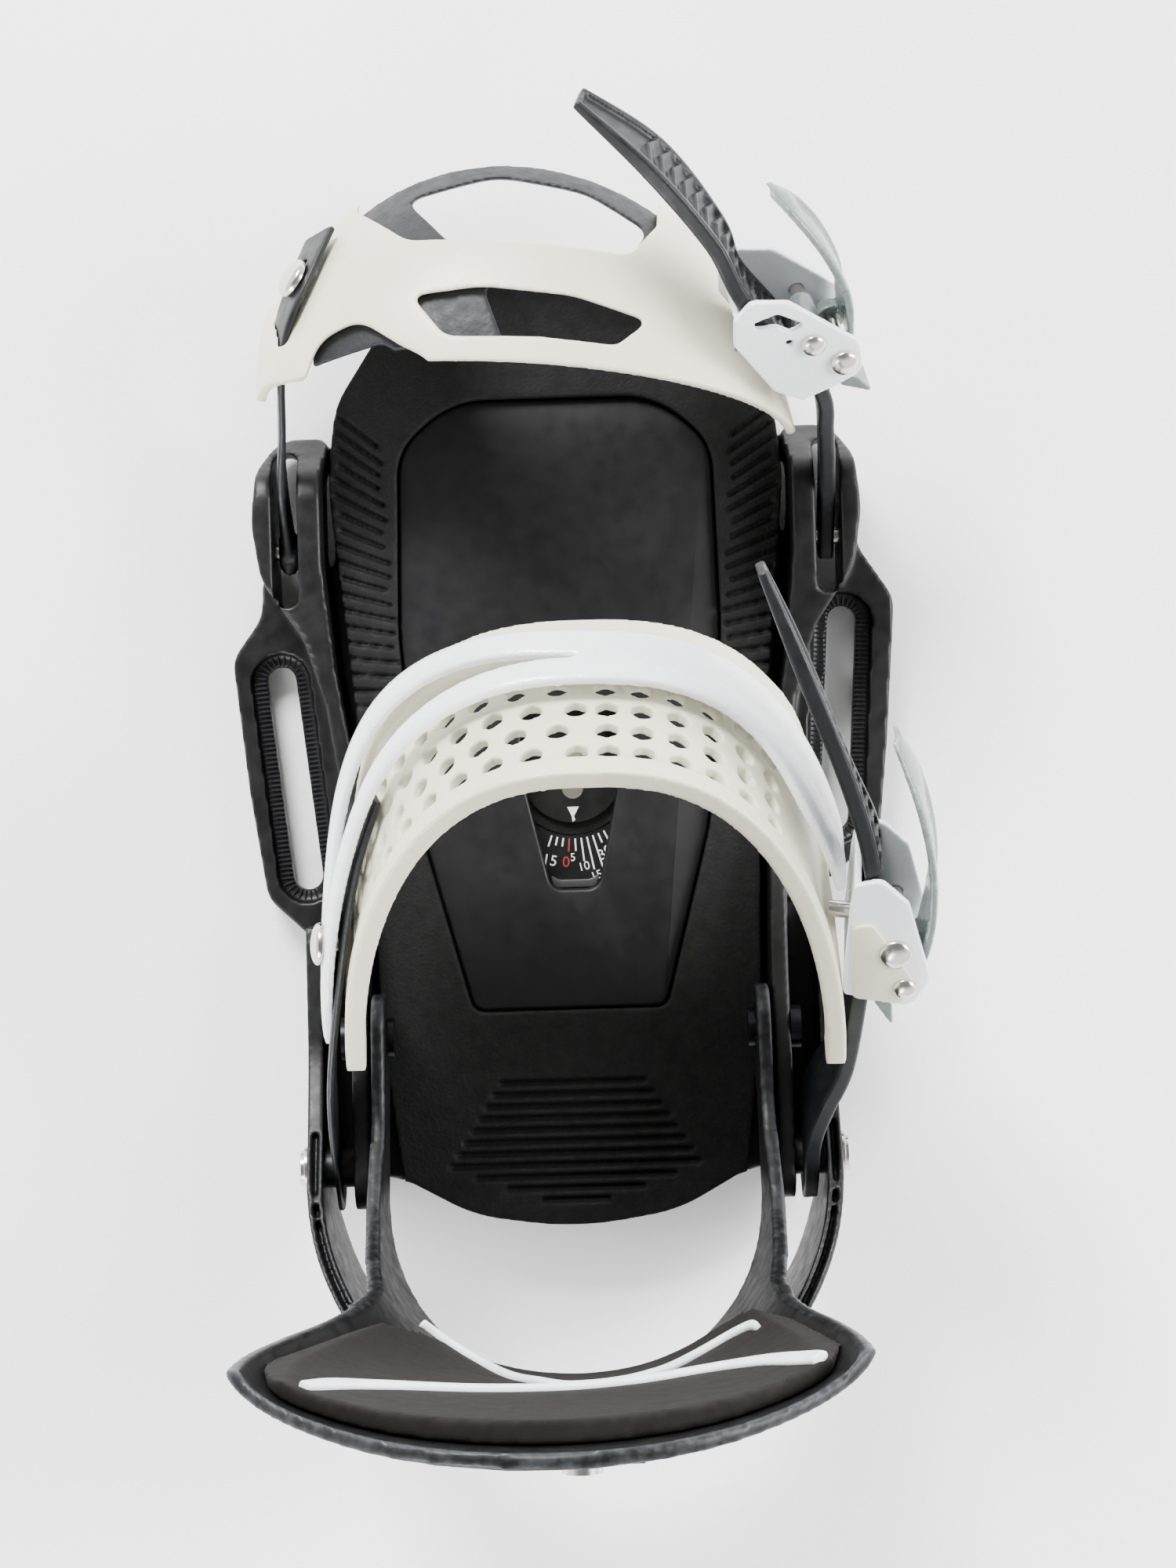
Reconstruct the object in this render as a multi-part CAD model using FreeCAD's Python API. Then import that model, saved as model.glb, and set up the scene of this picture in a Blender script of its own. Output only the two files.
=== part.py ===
import FreeCAD, Part
import math
import os

V = FreeCAD.Vector

# A right-foot snowboard binding, in millimetres. +Y points to the toe, +X to the outer side of
# the foot and +Z up. The origin lies on the board face, on the foot's centreline, level with
# the slot centres. Every piece is a separate solid in its own file.

# ---------------------------------------------------------------- driving dimensions
gasket_thick = 2.0
floor_thick = 6.0
ear_thick = 8.5
recess_depth = 3.0
board_thick = 6.0
cushion_thick = 6.0
panel_rise = 3.5
gap = 0.3                      # clearance between pieces that don't touch
foot_half = 58.0               # half width of the footbed at the ball of the foot
heel_half = 44.0               # half width of the footbed at its heel end
foot_front = 131.0
foot_back = -113.0
wall_inner = 50.5              # inner face of the side walls beside the heel
wall_thick = 4.5
tower_half = 77.0              # outer face of the toe towers
tower_top = 31.0
tower_slot_x = 68.7
tower_slot_wide = 6.5
hoop_half = 66.5               # outer face of the heel hoop
hoop_thick = 4.0
hoop_centre_y = -95.0
hoop_reach = 62.0              # from the hoop's centre to its rearmost face
hoop_top = 76.0
slot_wide = 7.4                # passes an M6 bolt
slot_long = 58.0
left_slot = (-69.6, 4.0, 6.2)  # x, y and lean in degrees
right_slot = (71.2, 15.5, -3.8)
dial_x = 2.0
dial_y = 3.5
dial_radius = 16.0
strap_axis_y = -94.0           # the ankle strap swings about this axis
strap_axis_z = 36.0
toe_axis_y = 62.0              # the toe strap swings about this axis
toe_axis_z = 15.0
fold_axis_y = -62.0            # the highback folds about this axis
fold_axis_z = 34.0
highback_half = 49.8
highback_thick = 3.5
highback_top = 243.0
pad_thick = 5.0
ankle_shift = 5.6              # the ankle strap sits this far to the outer side
ankle_half = 60.0
ankle_pad_thick = 4.5
ladder_thick = 4.0
ankle_ladder_wide = 22.0
toe_ladder_wide = 19.0
bolt_radius = 3.0
screw_radius = 1.2
running = 0.05                 # radial clearance of a turning fit

floor_top = gasket_thick + floor_thick
ear_top = gasket_thick + ear_thick
board_top = floor_top + board_thick
cushion_top = board_top + cushion_thick


# ---------------------------------------------------------------- shared shapes
def outline(corners, place):
    """A closed face through rounded corners (u, v, radius), each put in space by place."""
    count = len(corners)
    starts, ends, arcs = [], [], []
    for i in range(count):
        u, v, radius = corners[i]
        before, after = corners[i - 1], corners[(i + 1) % count]
        a = V(before[0] - u, before[1] - v, 0)
        b = V(after[0] - u, after[1] - v, 0)
        room = 0.48 * min(a.Length, b.Length)
        a.normalize()
        b.normalize()
        turn = math.acos(max(-1.0, min(1.0, a.dot(b))))
        reach = min(radius / max(math.tan(turn / 2), 1e-6), room) if radius else 0.0
        corner = V(u, v, 0)
        first, last = corner + a * reach, corner + b * reach
        starts.append(first)
        ends.append(last)
        if reach > 1e-6 and turn < math.pi - 1e-3:
            middle = a + b
            middle.normalize()
            true_radius = reach * math.tan(turn / 2)
            distance = true_radius / math.sin(turn / 2) - true_radius
            arcs.append(corner + middle * distance)
        else:
            arcs.append(None)
    edges = []
    for i in range(count):
        if arcs[i] is not None:
            points = [place(p.x, p.y) for p in (starts[i], arcs[i], ends[i])]
            edges.append(Part.Arc(*points).toShape())
        following = starts[(i + 1) % count]
        if (following - ends[i]).Length > 1e-4:
            line = Part.LineSegment(place(ends[i].x, ends[i].y), place(following.x, following.y))
            edges.append(line.toShape())
    return Part.Face(Part.Wire(edges))


def plate(corners, low, high):
    """A flat plate seen from above, between two heights."""
    return outline(corners, lambda u, v: V(u, v, low)).extrude(V(0, 0, high - low))


def side_prism(corners, low, high):
    """A prism seen from the side, as (y, z, radius), between two values of x."""
    return outline(corners, lambda u, v: V(low, u, v)).extrude(V(high - low, 0, 0))


def mirrored(corners):
    return [(-x, y, r) for x, y, r in reversed(corners)]


def rod(x_low, x_high, y, z, radius):
    """A cylinder along X."""
    return Part.makeCylinder(radius, x_high - x_low, V(x_low, y, z), V(1, 0, 0))


def leaning_slot(x, y, lean, wide, length, low, high):
    """A straight slot with round ends, turned by lean degrees about Z."""
    half = length / 2
    corners = [(-wide / 2, -half, wide / 2), (wide / 2, -half, wide / 2),
               (wide / 2, half, wide / 2), (-wide / 2, half, wide / 2)]
    solid = plate(corners, low, high)
    solid.rotate(V(0, 0, 0), V(0, 0, 1), lean)
    solid.translate(V(x, y, 0))
    return solid


def smooth(stations, steps):
    """Adds steps between hand-chosen stations, along a Catmull-Rom curve through all of them."""
    result = []
    for i in range(len(stations) - 1):
        p0 = stations[max(i - 1, 0)]
        p1, p2 = stations[i], stations[i + 1]
        p3 = stations[min(i + 2, len(stations) - 1)]
        for k in range(steps):
            t = k / steps
            result.append([0.5 * (2 * b + (c - a) * t + (2 * a - 5 * b + 4 * c - d) * t * t
                                  + (3 * b - a - 3 * c + d) * t ** 3)
                           for a, b, c, d in zip(p0, p1, p2, p3)])
    return result + [list(stations[-1])]


def skin(rows):
    """A solid lofted straight through closed polygons, one for each row of points."""
    wires = [Part.makePolygon(row + [row[0]]) for row in rows]
    solid = Part.makeLoft(wires, True, True)
    return solid if solid.Volume > 0 else solid.reversed()


def across(normal, along):
    """The unit vector across a ribbon, and the normal made square to its direction."""
    square = normal - along * normal.dot(along)
    square.normalize()
    return square.cross(along), square


def ribbon(stations, steps=3):
    """A strap through stations of x, y, z, normal, width, and height below and above its line."""
    run = smooth(stations, steps)
    points = [V(*s[:3]) for s in run]
    rows = []
    for i, s in enumerate(run):
        along = points[min(i + 1, len(run) - 1)] - points[max(i - 1, 0)]
        along.normalize()
        side, up = across(V(*s[3:6]), along)
        half, below, above = s[6] / 2, s[7], s[8]
        rows.append([points[i] - side * half - up * below, points[i] + side * half - up * below,
                     points[i] + side * half + up * above, points[i] - side * half + up * above])
    return skin(rows)


class Placed:
    """A local frame in the middle of a ladder: u runs along it, v across it and w outwards."""

    def __init__(self, underside, along, normal):
        self.u = V(*along)
        self.u.normalize()
        self.v, self.w = across(V(*normal), self.u)
        self.origin = V(*underside) + self.w * (ladder_thick / 2)

    def point(self, u, v, w):
        return self.origin + self.u * u + self.v * v + self.w * w

    def profile(self, corners, v_low, v_high):
        """A prism across the ladder with its outline given as (u, w, radius)."""
        face = outline(corners, lambda u, w: self.point(u, v_low, w))
        return face.extrude(self.v * (v_high - v_low))

    def pin(self, u, w, v_low, v_high, radius):
        return Part.makeCylinder(radius, v_high - v_low, self.point(u, v_low, w), self.v)

    def axis_point(self, u, w):
        return self.point(u, 0, w)


def save(name, shape):
    solids = shape.Solids
    if not shape.isValid() or not solids:
        raise ValueError("no valid solid for " + name)
    Part.makeCompound(solids).exportStep("parts/" + name + ".step")


# ---------------------------------------------------------------- base
left_ear = [(-60.0, 60.0, 0), (-76.6, 58.0, 8), (-76.4, 46.0, 12), (-84.6, 35.0, 8),
            (-81.1, 0.0, 0), (-77.2, -27.0, 9), (-66.5, -37.0, 6), (-50.0, -44.0, 0)]
right_ear = [(50.0, -34.0, 0), (69.0, -25.0, 6), (81.0, -14.0, 9), (83.6, 10.0, 0),
             (86.4, 46.0, 9), (77.0, 60.0, 12), (76.6, 72.0, 8), (60.0, 74.0, 0)]
tower = [(-57.5, 91.0, 3), (-70.5, 91.0, 8), (-75.8, 82.0, 12), (-tower_half, 68.0, 20),
         (-75.0, 54.0, 16), (-65.0, 39.0, 14), (-60.0, 22.0, 20), (-56.0, -4.0, 30),
         (-wall_inner - wall_thick, -50.0, 30), (-wall_inner - wall_thick, -106.0, 2),
         (-wall_inner, -106.0, 2), (-wall_inner, -50.0, 30), (-52.0, 0.0, 30), (-57.0, 30.0, 30),
         (-foot_half - 1.5, 58.0, 30), (-foot_half - 1.5, 80.0, 20)]
wall_height = [(95.0, 0.0, 0), (91.5, 12.0, 4), (79.0, tower_top, 10), (52.0, tower_top, 20),
               (30.0, 25.0, 30), (0.0, 24.0, 40), (-35.0, 32.0, 40), (-70.0, 41.0, 40),
               (-104.0, 46.0, 8), (-107.0, 0.0, 0)]


def floor_corners(inset=0.0, front=104.0):
    """The flat floor of the base, from the toe round to the heel."""
    half = hoop_half - inset
    return [(-42.0 + inset, front, 20), (-57.5 + inset, 90.0 - inset, 10),
            (-57.5 + inset, 60.0, 10), (-half, 30.0, 10), (-half, -98.0 + inset, 5),
            (-heel_half - 3.0, -100.0 + inset, 3), (-26.0, foot_back + 6.0 + inset, 40),
            (0.0, foot_back + 2.0 + inset, 90), (26.0, foot_back + 6.0 + inset, 40),
            (heel_half + 3.0, -100.0 + inset, 3), (half, -98.0 + inset, 5),
            (half, 30.0, 10), (57.5 - inset, 60.0, 10),
            (57.5 - inset, 90.0 - inset, 10), (42.0 - inset, front, 20)]


def window_corners(extra=0.0):
    """The sight window over the dial, narrower towards the heel."""
    return [(dial_x - 12.5 - extra, 22.0 + extra, 5), (dial_x - 13.0 - extra, 4.0, 12),
            (dial_x - 6.0 - extra, -26.5 - extra, 4), (dial_x + 6.0 + extra, -26.5 - extra, 4),
            (dial_x + 12.5 + extra, 4.0, 12), (dial_x + 12.5 + extra, 22.0 + extra, 5)]


def make_gasket():
    """Thin foam under the base, open at the bolt slots and at the dial."""
    pad = plate(floor_corners(inset=4.0, front=100.0), 0.0, gasket_thick)
    for ear in (left_ear, right_ear):
        pad = pad.fuse(plate(ear, 0.0, gasket_thick))
    for x, y, lean in (left_slot, right_slot):
        pad = pad.cut(leaning_slot(x, y, lean, slot_wide + 3.0, slot_long + 3.0, -1.0, 5.0))
    for side in (-1, 1):
        pad = pad.cut(leaning_slot(side * tower_slot_x, 67.0, 0.0, tower_slot_wide + 1.0, 41.0,
                                   -1.0, 5.0))
    hole = Part.makeCylinder(dial_radius + 3.0, 8.0, V(dial_x, dial_y, -2.0))
    return pad.cut(hole).removeSplitter()


def make_baseplate():
    """Floor, slotted ears, side walls and toe towers, moulded in one piece."""
    body = plate(floor_corners(), gasket_thick, floor_top)
    for ear in (left_ear, right_ear):
        body = body.fuse(plate(ear, gasket_thick, ear_top))
    walls = plate(tower, gasket_thick, 60.0).fuse(plate(mirrored(tower), gasket_thick, 60.0))
    walls = walls.common(side_prism(wall_height, -100.0, 100.0))
    body = body.fuse(walls)
    for x, y, lean in (left_slot, right_slot):
        body = body.cut(leaning_slot(x, y, lean, slot_wide, slot_long, -1.0, 60.0))
        body = body.cut(leaning_slot(x, y, lean, slot_wide + 7.6, slot_long + 6.4,
                                     ear_top - recess_depth, 22.0))
    for side in (-1, 1):
        slot = leaning_slot(side * tower_slot_x, 67.0, 0.0, tower_slot_wide, 40.0, -1.0, 60.0)
        body = body.cut(slot)
        body = body.cut(rod(*sorted((side * 60.0, side * 90.0)), toe_axis_y, toe_axis_z, 2.0))
        inner, outer = sorted((side * 40.0, side * 60.0))
        body = body.cut(rod(inner, outer, fold_axis_y, fold_axis_z, bolt_radius))
        body = body.cut(rod(inner, outer, strap_axis_y, strap_axis_z, bolt_radius))
    for screw in hoop_screws(screw_radius):
        body = body.cut(screw)
    dial_hole = Part.makeCylinder(dial_radius + 1.0, 20.0, V(dial_x, dial_y, -2.0))
    scale_pocket = plate(window_corners(2.0), floor_top - 2.0, floor_top + 1.0)
    return body.cut(dial_hole).cut(scale_pocket).removeSplitter()


def hoop_rail(inset):
    """One line of the hoop seen from above: straight sides and an elliptical back."""
    half, reach = hoop_half - inset, hoop_reach - inset
    back = [V(-half * math.cos(a), hoop_centre_y - reach * math.sin(a), 0)
            for a in [math.pi * i / 24 for i in range(25)]]
    return [V(-half, -34.0, 0)] + back + [V(half, -34.0, 0)]


def make_hoop():
    """The curved band behind the heel, bolted to the base outside its walls."""
    outer, inner = hoop_rail(0.0), hoop_rail(hoop_thick)
    band = Part.Face(Part.makePolygon(outer + inner[::-1] + [outer[0]])).extrude(V(0, 0, 90.0))
    rise = [(-30.0, ear_top, 0), (-30.0, 26.0, 0), (-38.0, 28.0, 6), (-66.0, 31.0, 30),
            (-84.0, 40.0, 30), (-112.0, 60.0, 30), (-140.0, hoop_top, 20),
            (-170.0, hoop_top, 0), (-170.0, 38.0, 0), (-140.0, 30.0, 20),
            (-112.0, floor_top, 12), (-37.5, floor_top, 0), (-37.5, ear_top, 0)]
    band = band.common(side_prism(rise, -100.0, 100.0))
    ears = plate(left_ear, 0.0, ear_top).fuse(plate(right_ear, 0.0, ear_top))
    band = band.cut(ears)
    for side in (-1, 1):
        low, high = sorted((side * 58.0, side * 80.0))
        band = band.cut(rod(low, high, strap_axis_y, strap_axis_z, bolt_radius))
    for screw in hoop_screws(screw_radius):
        band = band.cut(screw)
    return band.removeSplitter()


def footbed_corners(inset=0.0, back=0.0):
    toe, heel = foot_half - inset, heel_half - inset
    return [(-20.0, foot_front - inset, 20), (-43.0 + inset, foot_front - 13.0 - inset, 20),
            (-toe + 2.0, foot_front - 33.0, 25), (-toe, 78.0, 60), (-53.5 + inset, 30.0, 60),
            (-49.5 + inset, -15.0, 80), (-48.5 + inset, -62.0, 60),
            (-heel, -99.0 + back, 3), (-26.0, -109.0 + back, 40),
            (0.0, foot_back + back, 90), (26.0, -109.0 + back, 40), (heel, -99.0 + back, 3),
            (48.5 - inset, -62.0, 60), (49.5 - inset, -15.0, 80), (53.5 - inset, 30.0, 60),
            (toe, 78.0, 60), (toe - 2.0, foot_front - 33.0, 25),
            (43.0 - inset, foot_front - 13.0 - inset, 20), (20.0, foot_front - inset, 20)]


def panel_corners(grow=0.0):
    """The smooth middle of the footbed, a rounded shield."""
    return [(-26.0, 99.0 + grow, 25), (-40.0 - grow, 87.0, 16), (-41.0 - grow, 40.0, 60),
            (-37.0 - grow, -10.0, 60), (-24.5 - grow, -57.0 - grow, 4),
            (24.5 + grow, -57.0 - grow, 4), (37.0 + grow, -10.0, 60),
            (41.0 + grow, 40.0, 60), (40.0 + grow, 87.0, 16), (26.0, 99.0 + grow, 25)]


def make_board():
    """Stiff board under the foot, with a raised smooth panel and the sight window."""
    board = plate(footbed_corners(inset=1.5, back=1.5), floor_top, board_top)
    board = board.fuse(plate(panel_corners(), board_top, board_top + panel_rise))
    return board.cut(plate(window_corners(), 0.0, 40.0)).removeSplitter()


def make_cushion():
    """Soft foam round the panel, with the heel grooves and the side grooves cut in it."""
    foam = plate(footbed_corners(), board_top + 0.01, cushion_top)
    foam = foam.cut(plate(panel_corners(gap), 0.0, 60.0))
    for i in range(11):
        y = -76.0 - 3.0 * i
        half = 19.0 + 1.9 * i if i < 8 else (26.0, 18.0, 9.0)[i - 8]
        groove = Part.makeBox(2 * half, 1.3, 3.0, V(-half, y, cushion_top - 1.2))
        foam = foam.cut(groove)
    return foam.removeSplitter()


def make_toe_ramp():
    """Wedge that carries the front of the footbed past the base."""
    ramp = plate([(-38.0, 128.0, 12), (-50.0, 106.0 + gap, 6), (50.0, 106.0 + gap, 6),
                  (38.0, 128.0, 12)], 3.0, floor_top)
    slope = side_prism([(140.0, 0.0, 0), (140.0, 7.0, 0), (104.0, 1.0, 0), (104.0, 0.0, 0)],
                       -70.0, 70.0)
    return ramp.cut(slope)


def make_scale():
    """Plate with the angle scale, set in the base around the dial."""
    ring = plate(window_corners(2.0 - gap), floor_top - 2.0, floor_top - 0.2)
    return ring.cut(Part.makeCylinder(dial_radius + 0.5, 20.0, V(dial_x, dial_y, 0.0)))


def make_dial():
    """Disc that follows the board's channel, with a collar that the scale plate holds down."""
    base = Part.makeCylinder(dial_radius, floor_top - 2.6, V(dial_x, dial_y, 0.6))
    tube = Part.makeCylinder(dial_radius - 3.0, 1.6, V(dial_x, dial_y, floor_top - 2.0))
    body = base.fuse(tube)
    sight = leaning_slot(dial_x, dial_y, 0.0, 5.6, 14.0, -1.0, 20.0)
    return body.cut(sight).removeSplitter()


def make_dial_stud():
    """Metal stud that rides in the board's channel and shows its middle."""
    stud = Part.makeCylinder(2.4, 6.0, V(dial_x, dial_y, 0.7))
    foot = leaning_slot(dial_x, dial_y, 0.0, 5.4, 13.8, 1.2, 2.8)
    return stud.fuse(foot).removeSplitter()


# ---------------------------------------------------------------- fasteners in the base
def cap_bolt(side, head_x, tip_x, y, z, head_radius, head_thick, cup=True):
    """A bolt along X, its head outwards on the given side."""
    low, high = sorted((side * head_x, side * tip_x))
    shank = rod(low, high, y, z, bolt_radius - running)
    low, high = sorted((side * head_x, side * (head_x + head_thick)))
    head = rod(low, high, y, z, head_radius)
    if cup:
        low, high = sorted((side * (head_x + head_thick - 1.2), side * (head_x + head_thick + 1)))
        head = head.cut(rod(low, high, y, z, head_radius * 0.45))
    return shank.fuse(head).removeSplitter()


def make_strap_bolts():
    return Part.makeCompound([cap_bolt(s, hoop_half, wall_inner - 0.1, strap_axis_y,
                                       strap_axis_z, 4.4, 2.2) for s in (-1, 1)])


def make_strap_bushes():
    """Sleeves on the strap bolts, which keep the hoop and the wall apart."""
    sleeves = []
    for side in (-1, 1):
        low, high = sorted((side * (wall_inner + wall_thick + 0.02),
                            side * (hoop_half - hoop_thick - 0.2)))
        sleeve = rod(low, high, strap_axis_y, strap_axis_z, 5.0)
        sleeves.append(sleeve.cut(rod(low - 1, high + 1, strap_axis_y, strap_axis_z, bolt_radius)))
    return Part.makeCompound(sleeves)


def make_fold_bolts():
    """Bolts that the highback's arms turn on, with their heads inside."""
    bolts = []
    for side in (-1, 1):
        arm_face = highback_half - highback_thick - gap
        low, high = sorted((side * arm_face, side * (wall_inner + wall_thick)))
        shank = rod(low, high, fold_axis_y, fold_axis_z, bolt_radius - running)
        low, high = sorted((side * (arm_face - 1.6), side * arm_face))
        head = rod(low, high, fold_axis_y, fold_axis_z, 5.0)
        bolts.append(shank.fuse(head).removeSplitter())
    return Part.makeCompound(bolts)


def make_fold_nuts():
    nuts = []
    for side in (-1, 1):
        low, high = sorted((side * (wall_inner + wall_thick + 0.02),
                            side * (wall_inner + wall_thick + 2.6)))
        nut = rod(low, high, fold_axis_y, fold_axis_z, 5.5)
        nuts.append(nut.cut(rod(low - 1, high + 1, fold_axis_y, fold_axis_z, bolt_radius)))
    return Part.makeCompound(nuts)


def make_toe_pins():
    """Steel pins across the towers, which the toe strap's ends turn on."""
    return Part.makeCompound([rod(*sorted((side * 62.0, side * (tower_half - 1.0))), toe_axis_y,
                                  toe_axis_z, 2.0 - 0.01) for side in (-1, 1)])


def hoop_screws(radius):
    """Four screws up through the floor into the hoop's foot."""
    x = hoop_half - hoop_thick / 2
    return [Part.makeCylinder(radius, 14.0, V(side * x, y, gasket_thick + 0.5))
            for side in (-1, 1) for y in (-52.0, -78.0)]


def make_hoop_screws():
    return Part.makeCompound(hoop_screws(screw_radius - 0.01))


# ---------------------------------------------------------------- highback
# height, half width, y and x of the arc's centre, and its reach to the rear
fold_levels = [(18.0, highback_half, -100.0, 0.0, 47.0),
               (48.0, highback_half, -100.0, 0.0, 46.6), (70.0, 51.2, -100.0, 0.0, 46.3),
               (100.0, 52.6, -100.0, 0.0, 45.6), (118.0, 53.4, -103.0, -0.8, 41.0),
               (140.0, 56.0, -108.0, -2.0, 33.0), (165.0, 62.0, -112.0, -3.2, 25.5),
               (190.0, 66.0, -114.5, -4.4, 20.5), (215.0, 66.5, -115.0, -5.0, 19.0),
               (250.0, 64.5, -115.0, -5.0, 17.5)]


def highback_row(level, outer, inner):
    """A closed U seen from above at one height, between two depths under the outer face."""
    z, half, centre, middle, reach = level
    lines = []
    for depth in (outer, inner):
        a, b = half - depth, reach - depth
        line = [V(middle - a, -46.0, z), V(middle - a, -72.0, z)]
        line += [V(middle - a * math.cos(t), centre - b * math.sin(t), z)
                 for t in [math.pi * i / 18 for i in range(19)]]
        line += [V(middle + a, -72.0, z), V(middle + a, -46.0, z)]
        lines.append(line)
    return lines[0] + lines[1][::-1]


def highback_blank(outer, inner):
    return skin([highback_row(level, outer, inner) for level in fold_levels])


side_view = [(-51.0, 24.0, 8), (-51.0, 45.0, 9), (-82.0, 51.0, 24), (-105.0, 70.0, 24),
             (-116.0, 100.0, 30), (-117.0, 150.0, 30), (-116.0, 252.0, 0), (-170.0, 252.0, 0),
             (-170.0, 84.0, 0), (-147.0, 86.0, 4), (-128.0, 66.0, 30), (-98.0, 38.0, 30),
             (-72.0, 23.0, 14)]


def front_prism(corners, low=-180.0, high=-30.0):
    """A prism seen from the front, as (x, z, radius)."""
    return outline(corners, lambda u, v: V(u, low, v)).extrude(V(0, high - low, 0))


def make_highback():
    """Curved shell behind the calf, with two arms that reach forward to the fold bolts."""
    shell = highback_blank(0.0, highback_thick)
    shell = shell.common(side_prism(side_view, -100.0, 100.0))
    crown = [(-90.0, 0.0, 0), (-90.0, 196.0, 0), (-70.0, 212.0, 20), (-36.0, highback_top - 6, 60),
             (-5.0, highback_top + 2, 90), (26.0, highback_top - 6, 60), (62.0, 208.0, 20),
             (90.0, 186.0, 0), (90.0, 0.0, 0)]
    shell = shell.common(front_prism(crown))
    for side in (-1, 1):
        low, high = sorted((side * 40.0, side * 60.0))
        shell = shell.cut(rod(low, high, fold_axis_y, fold_axis_z, bolt_radius))
    return shell


pad_front = [(-66.0, 190.0, 8), (-62.0, 212.0, 12), (-34.0, highback_top - 14, 50),
             (-5.0, highback_top - 8, 80), (24.0, highback_top - 14, 50), (52.0, 208.0, 12),
             (56.0, 186.0, 8), (48.0, 148.0, 20), (32.0, 112.0, 16), (0.0, 96.0, 40),
             (-32.0, 112.0, 16), (-50.0, 148.0, 20)]
pad_depth = [(-118.5, 60.0, 0), (-118.5, 252.0, 0), (-170.0, 252.0, 0), (-170.0, 60.0, 0)]


def make_highback_pad():
    """Foam pad inside the shell, against the calf."""
    pad = highback_blank(highback_thick + gap, highback_thick + gap + pad_thick)
    return pad.common(front_prism(pad_front)).common(side_prism(pad_depth, -100.0, 100.0))


def make_highback_trim():
    """Narrow soft strip along the lower edge of the pad."""
    strip = highback_blank(highback_thick + 2 * gap + pad_thick,
                           highback_thick + 2 * gap + pad_thick + 1.2)
    band = [(-46.0, 150.0, 1), (-46.0, 156.0, 1), (0.0, 118.0, 60), (46.0, 156.0, 1),
            (46.0, 150.0, 1), (0.0, 112.0, 60)]
    return strip.common(front_prism(band)).common(side_prism(pad_depth, -100.0, 100.0))


def back_face(z):
    """The y of the shell's rear face on the centreline at a height."""
    for low, high in zip(fold_levels, fold_levels[1:]):
        if low[0] <= z <= high[0]:
            share = (z - low[0]) / (high[0] - low[0])
            return (low[2] - low[4]) * (1 - share) + (high[2] - high[4]) * share
    return fold_levels[-1][2] - fold_levels[-1][4]


def make_lean_rail():
    """Toothed rail on the back of the shell, which the lean block climbs."""
    face = back_face(85.0) - 0.3
    rail = Part.makeBox(8.0, 4.0, 32.0, V(-4.0, face - 4.0, 88.0))
    for i in range(9):
        notch = Part.makeBox(10.0, 1.0, 1.4, V(-5.0, face - 4.0, 90.0 + 3.2 * i))
        rail = rail.cut(notch)
    return rail


def make_lean_block():
    """Block that rests on the hoop and sets how far the shell leans forward."""
    face = back_face(85.0) - 0.3
    rear = hoop_centre_y - hoop_reach - 3.0
    low = hoop_top + gap
    block = Part.makeBox(30.0, face - rear - 1.0, 16.0, V(-15.0, rear, low))
    block = block.cut(Part.makeBox(9.0, 4.6 - 1.0 + 0.4, 20.0, V(-4.5, face - 4.4, low - 1)))
    block = block.cut(Part.makeCylinder(2.0, 12.0, V(0, rear - 1.0, low + 8.0), V(0, 1, 0)))
    return block.removeSplitter()


def make_lean_screw():
    rear = hoop_centre_y - hoop_reach - 3.0
    low = hoop_top + gap + 8.0
    tip = back_face(85.0) - 4.8
    shank = Part.makeCylinder(2.0 - running, tip - rear, V(0, rear, low), V(0, 1, 0))
    head = Part.makeCylinder(5.0, 3.0, V(0, rear - 3.0, low), V(0, 1, 0))
    return shank.fuse(head).removeSplitter()


# ---------------------------------------------------------------- ankle strap
ankle_rear = (-68.0, 73.0, 70.7, 52.7)     # y and z of the ends, rise in y and z to the crown
ankle_front = (-13.0, 43.0, 52.5, 40.0)
ankle_skew = 7.0                           # the outer end of the rear edge is higher by twice this


def ankle_point(angle, share, lift):
    """A point on the strap: angle round the ankle, share from rear edge to front edge, lift."""
    def edge(a, line, skew):
        t = math.radians(a)
        y, z, rise_y, rise_z = line
        reach = math.copysign(abs(math.sin(t)) ** 0.8, t)
        return V(ankle_shift + ankle_half * reach, y + rise_y * math.cos(t),
                 z + skew * math.sin(t) + rise_z * math.cos(t))

    def middle(a):
        return (edge(a, ankle_rear, ankle_skew) + edge(a, ankle_front, 0.0)) * 0.5

    rear, front = edge(angle, ankle_rear, ankle_skew), edge(angle, ankle_front, 0.0)
    along = middle(angle + 1.0) - middle(angle - 1.0)
    normal = (front - rear).cross(along)
    normal.normalize()
    if normal.dot(V(math.sin(math.radians(angle)), 0, math.cos(math.radians(angle)))) < 0:
        normal = normal * -1
    return rear + (front - rear) * share + normal * lift


def ankle_band(stations, low, high, steps=3):
    """A strap over the ankle through stations of angle, first share and last share."""
    rows = []
    for angle, first, last in smooth(stations, steps):
        rows.append([ankle_point(angle, first, low), ankle_point(angle, last, low),
                     ankle_point(angle, last, high), ankle_point(angle, first, high)])
    return skin(rows)


frame_low, frame_high = 3.1, 5.7


def make_ankle_pad():
    stations = [(-91, 0.02, 0.16), (-80, 0.0, 0.45), (-62, 0.0, 0.92), (-40, 0.0, 1.0),
                (0, 0.0, 1.0), (40, 0.0, 1.0), (60, 0.0, 0.92), (72, 0.0, 0.42),
                (80, 0.0, 0.12), (91, 0.01, 0.12)]
    pad = ankle_band(stations, -ankle_pad_thick, 0.0)
    return pad.cut(rivet(ankle_buckle, 2.0, -12.0))


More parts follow.
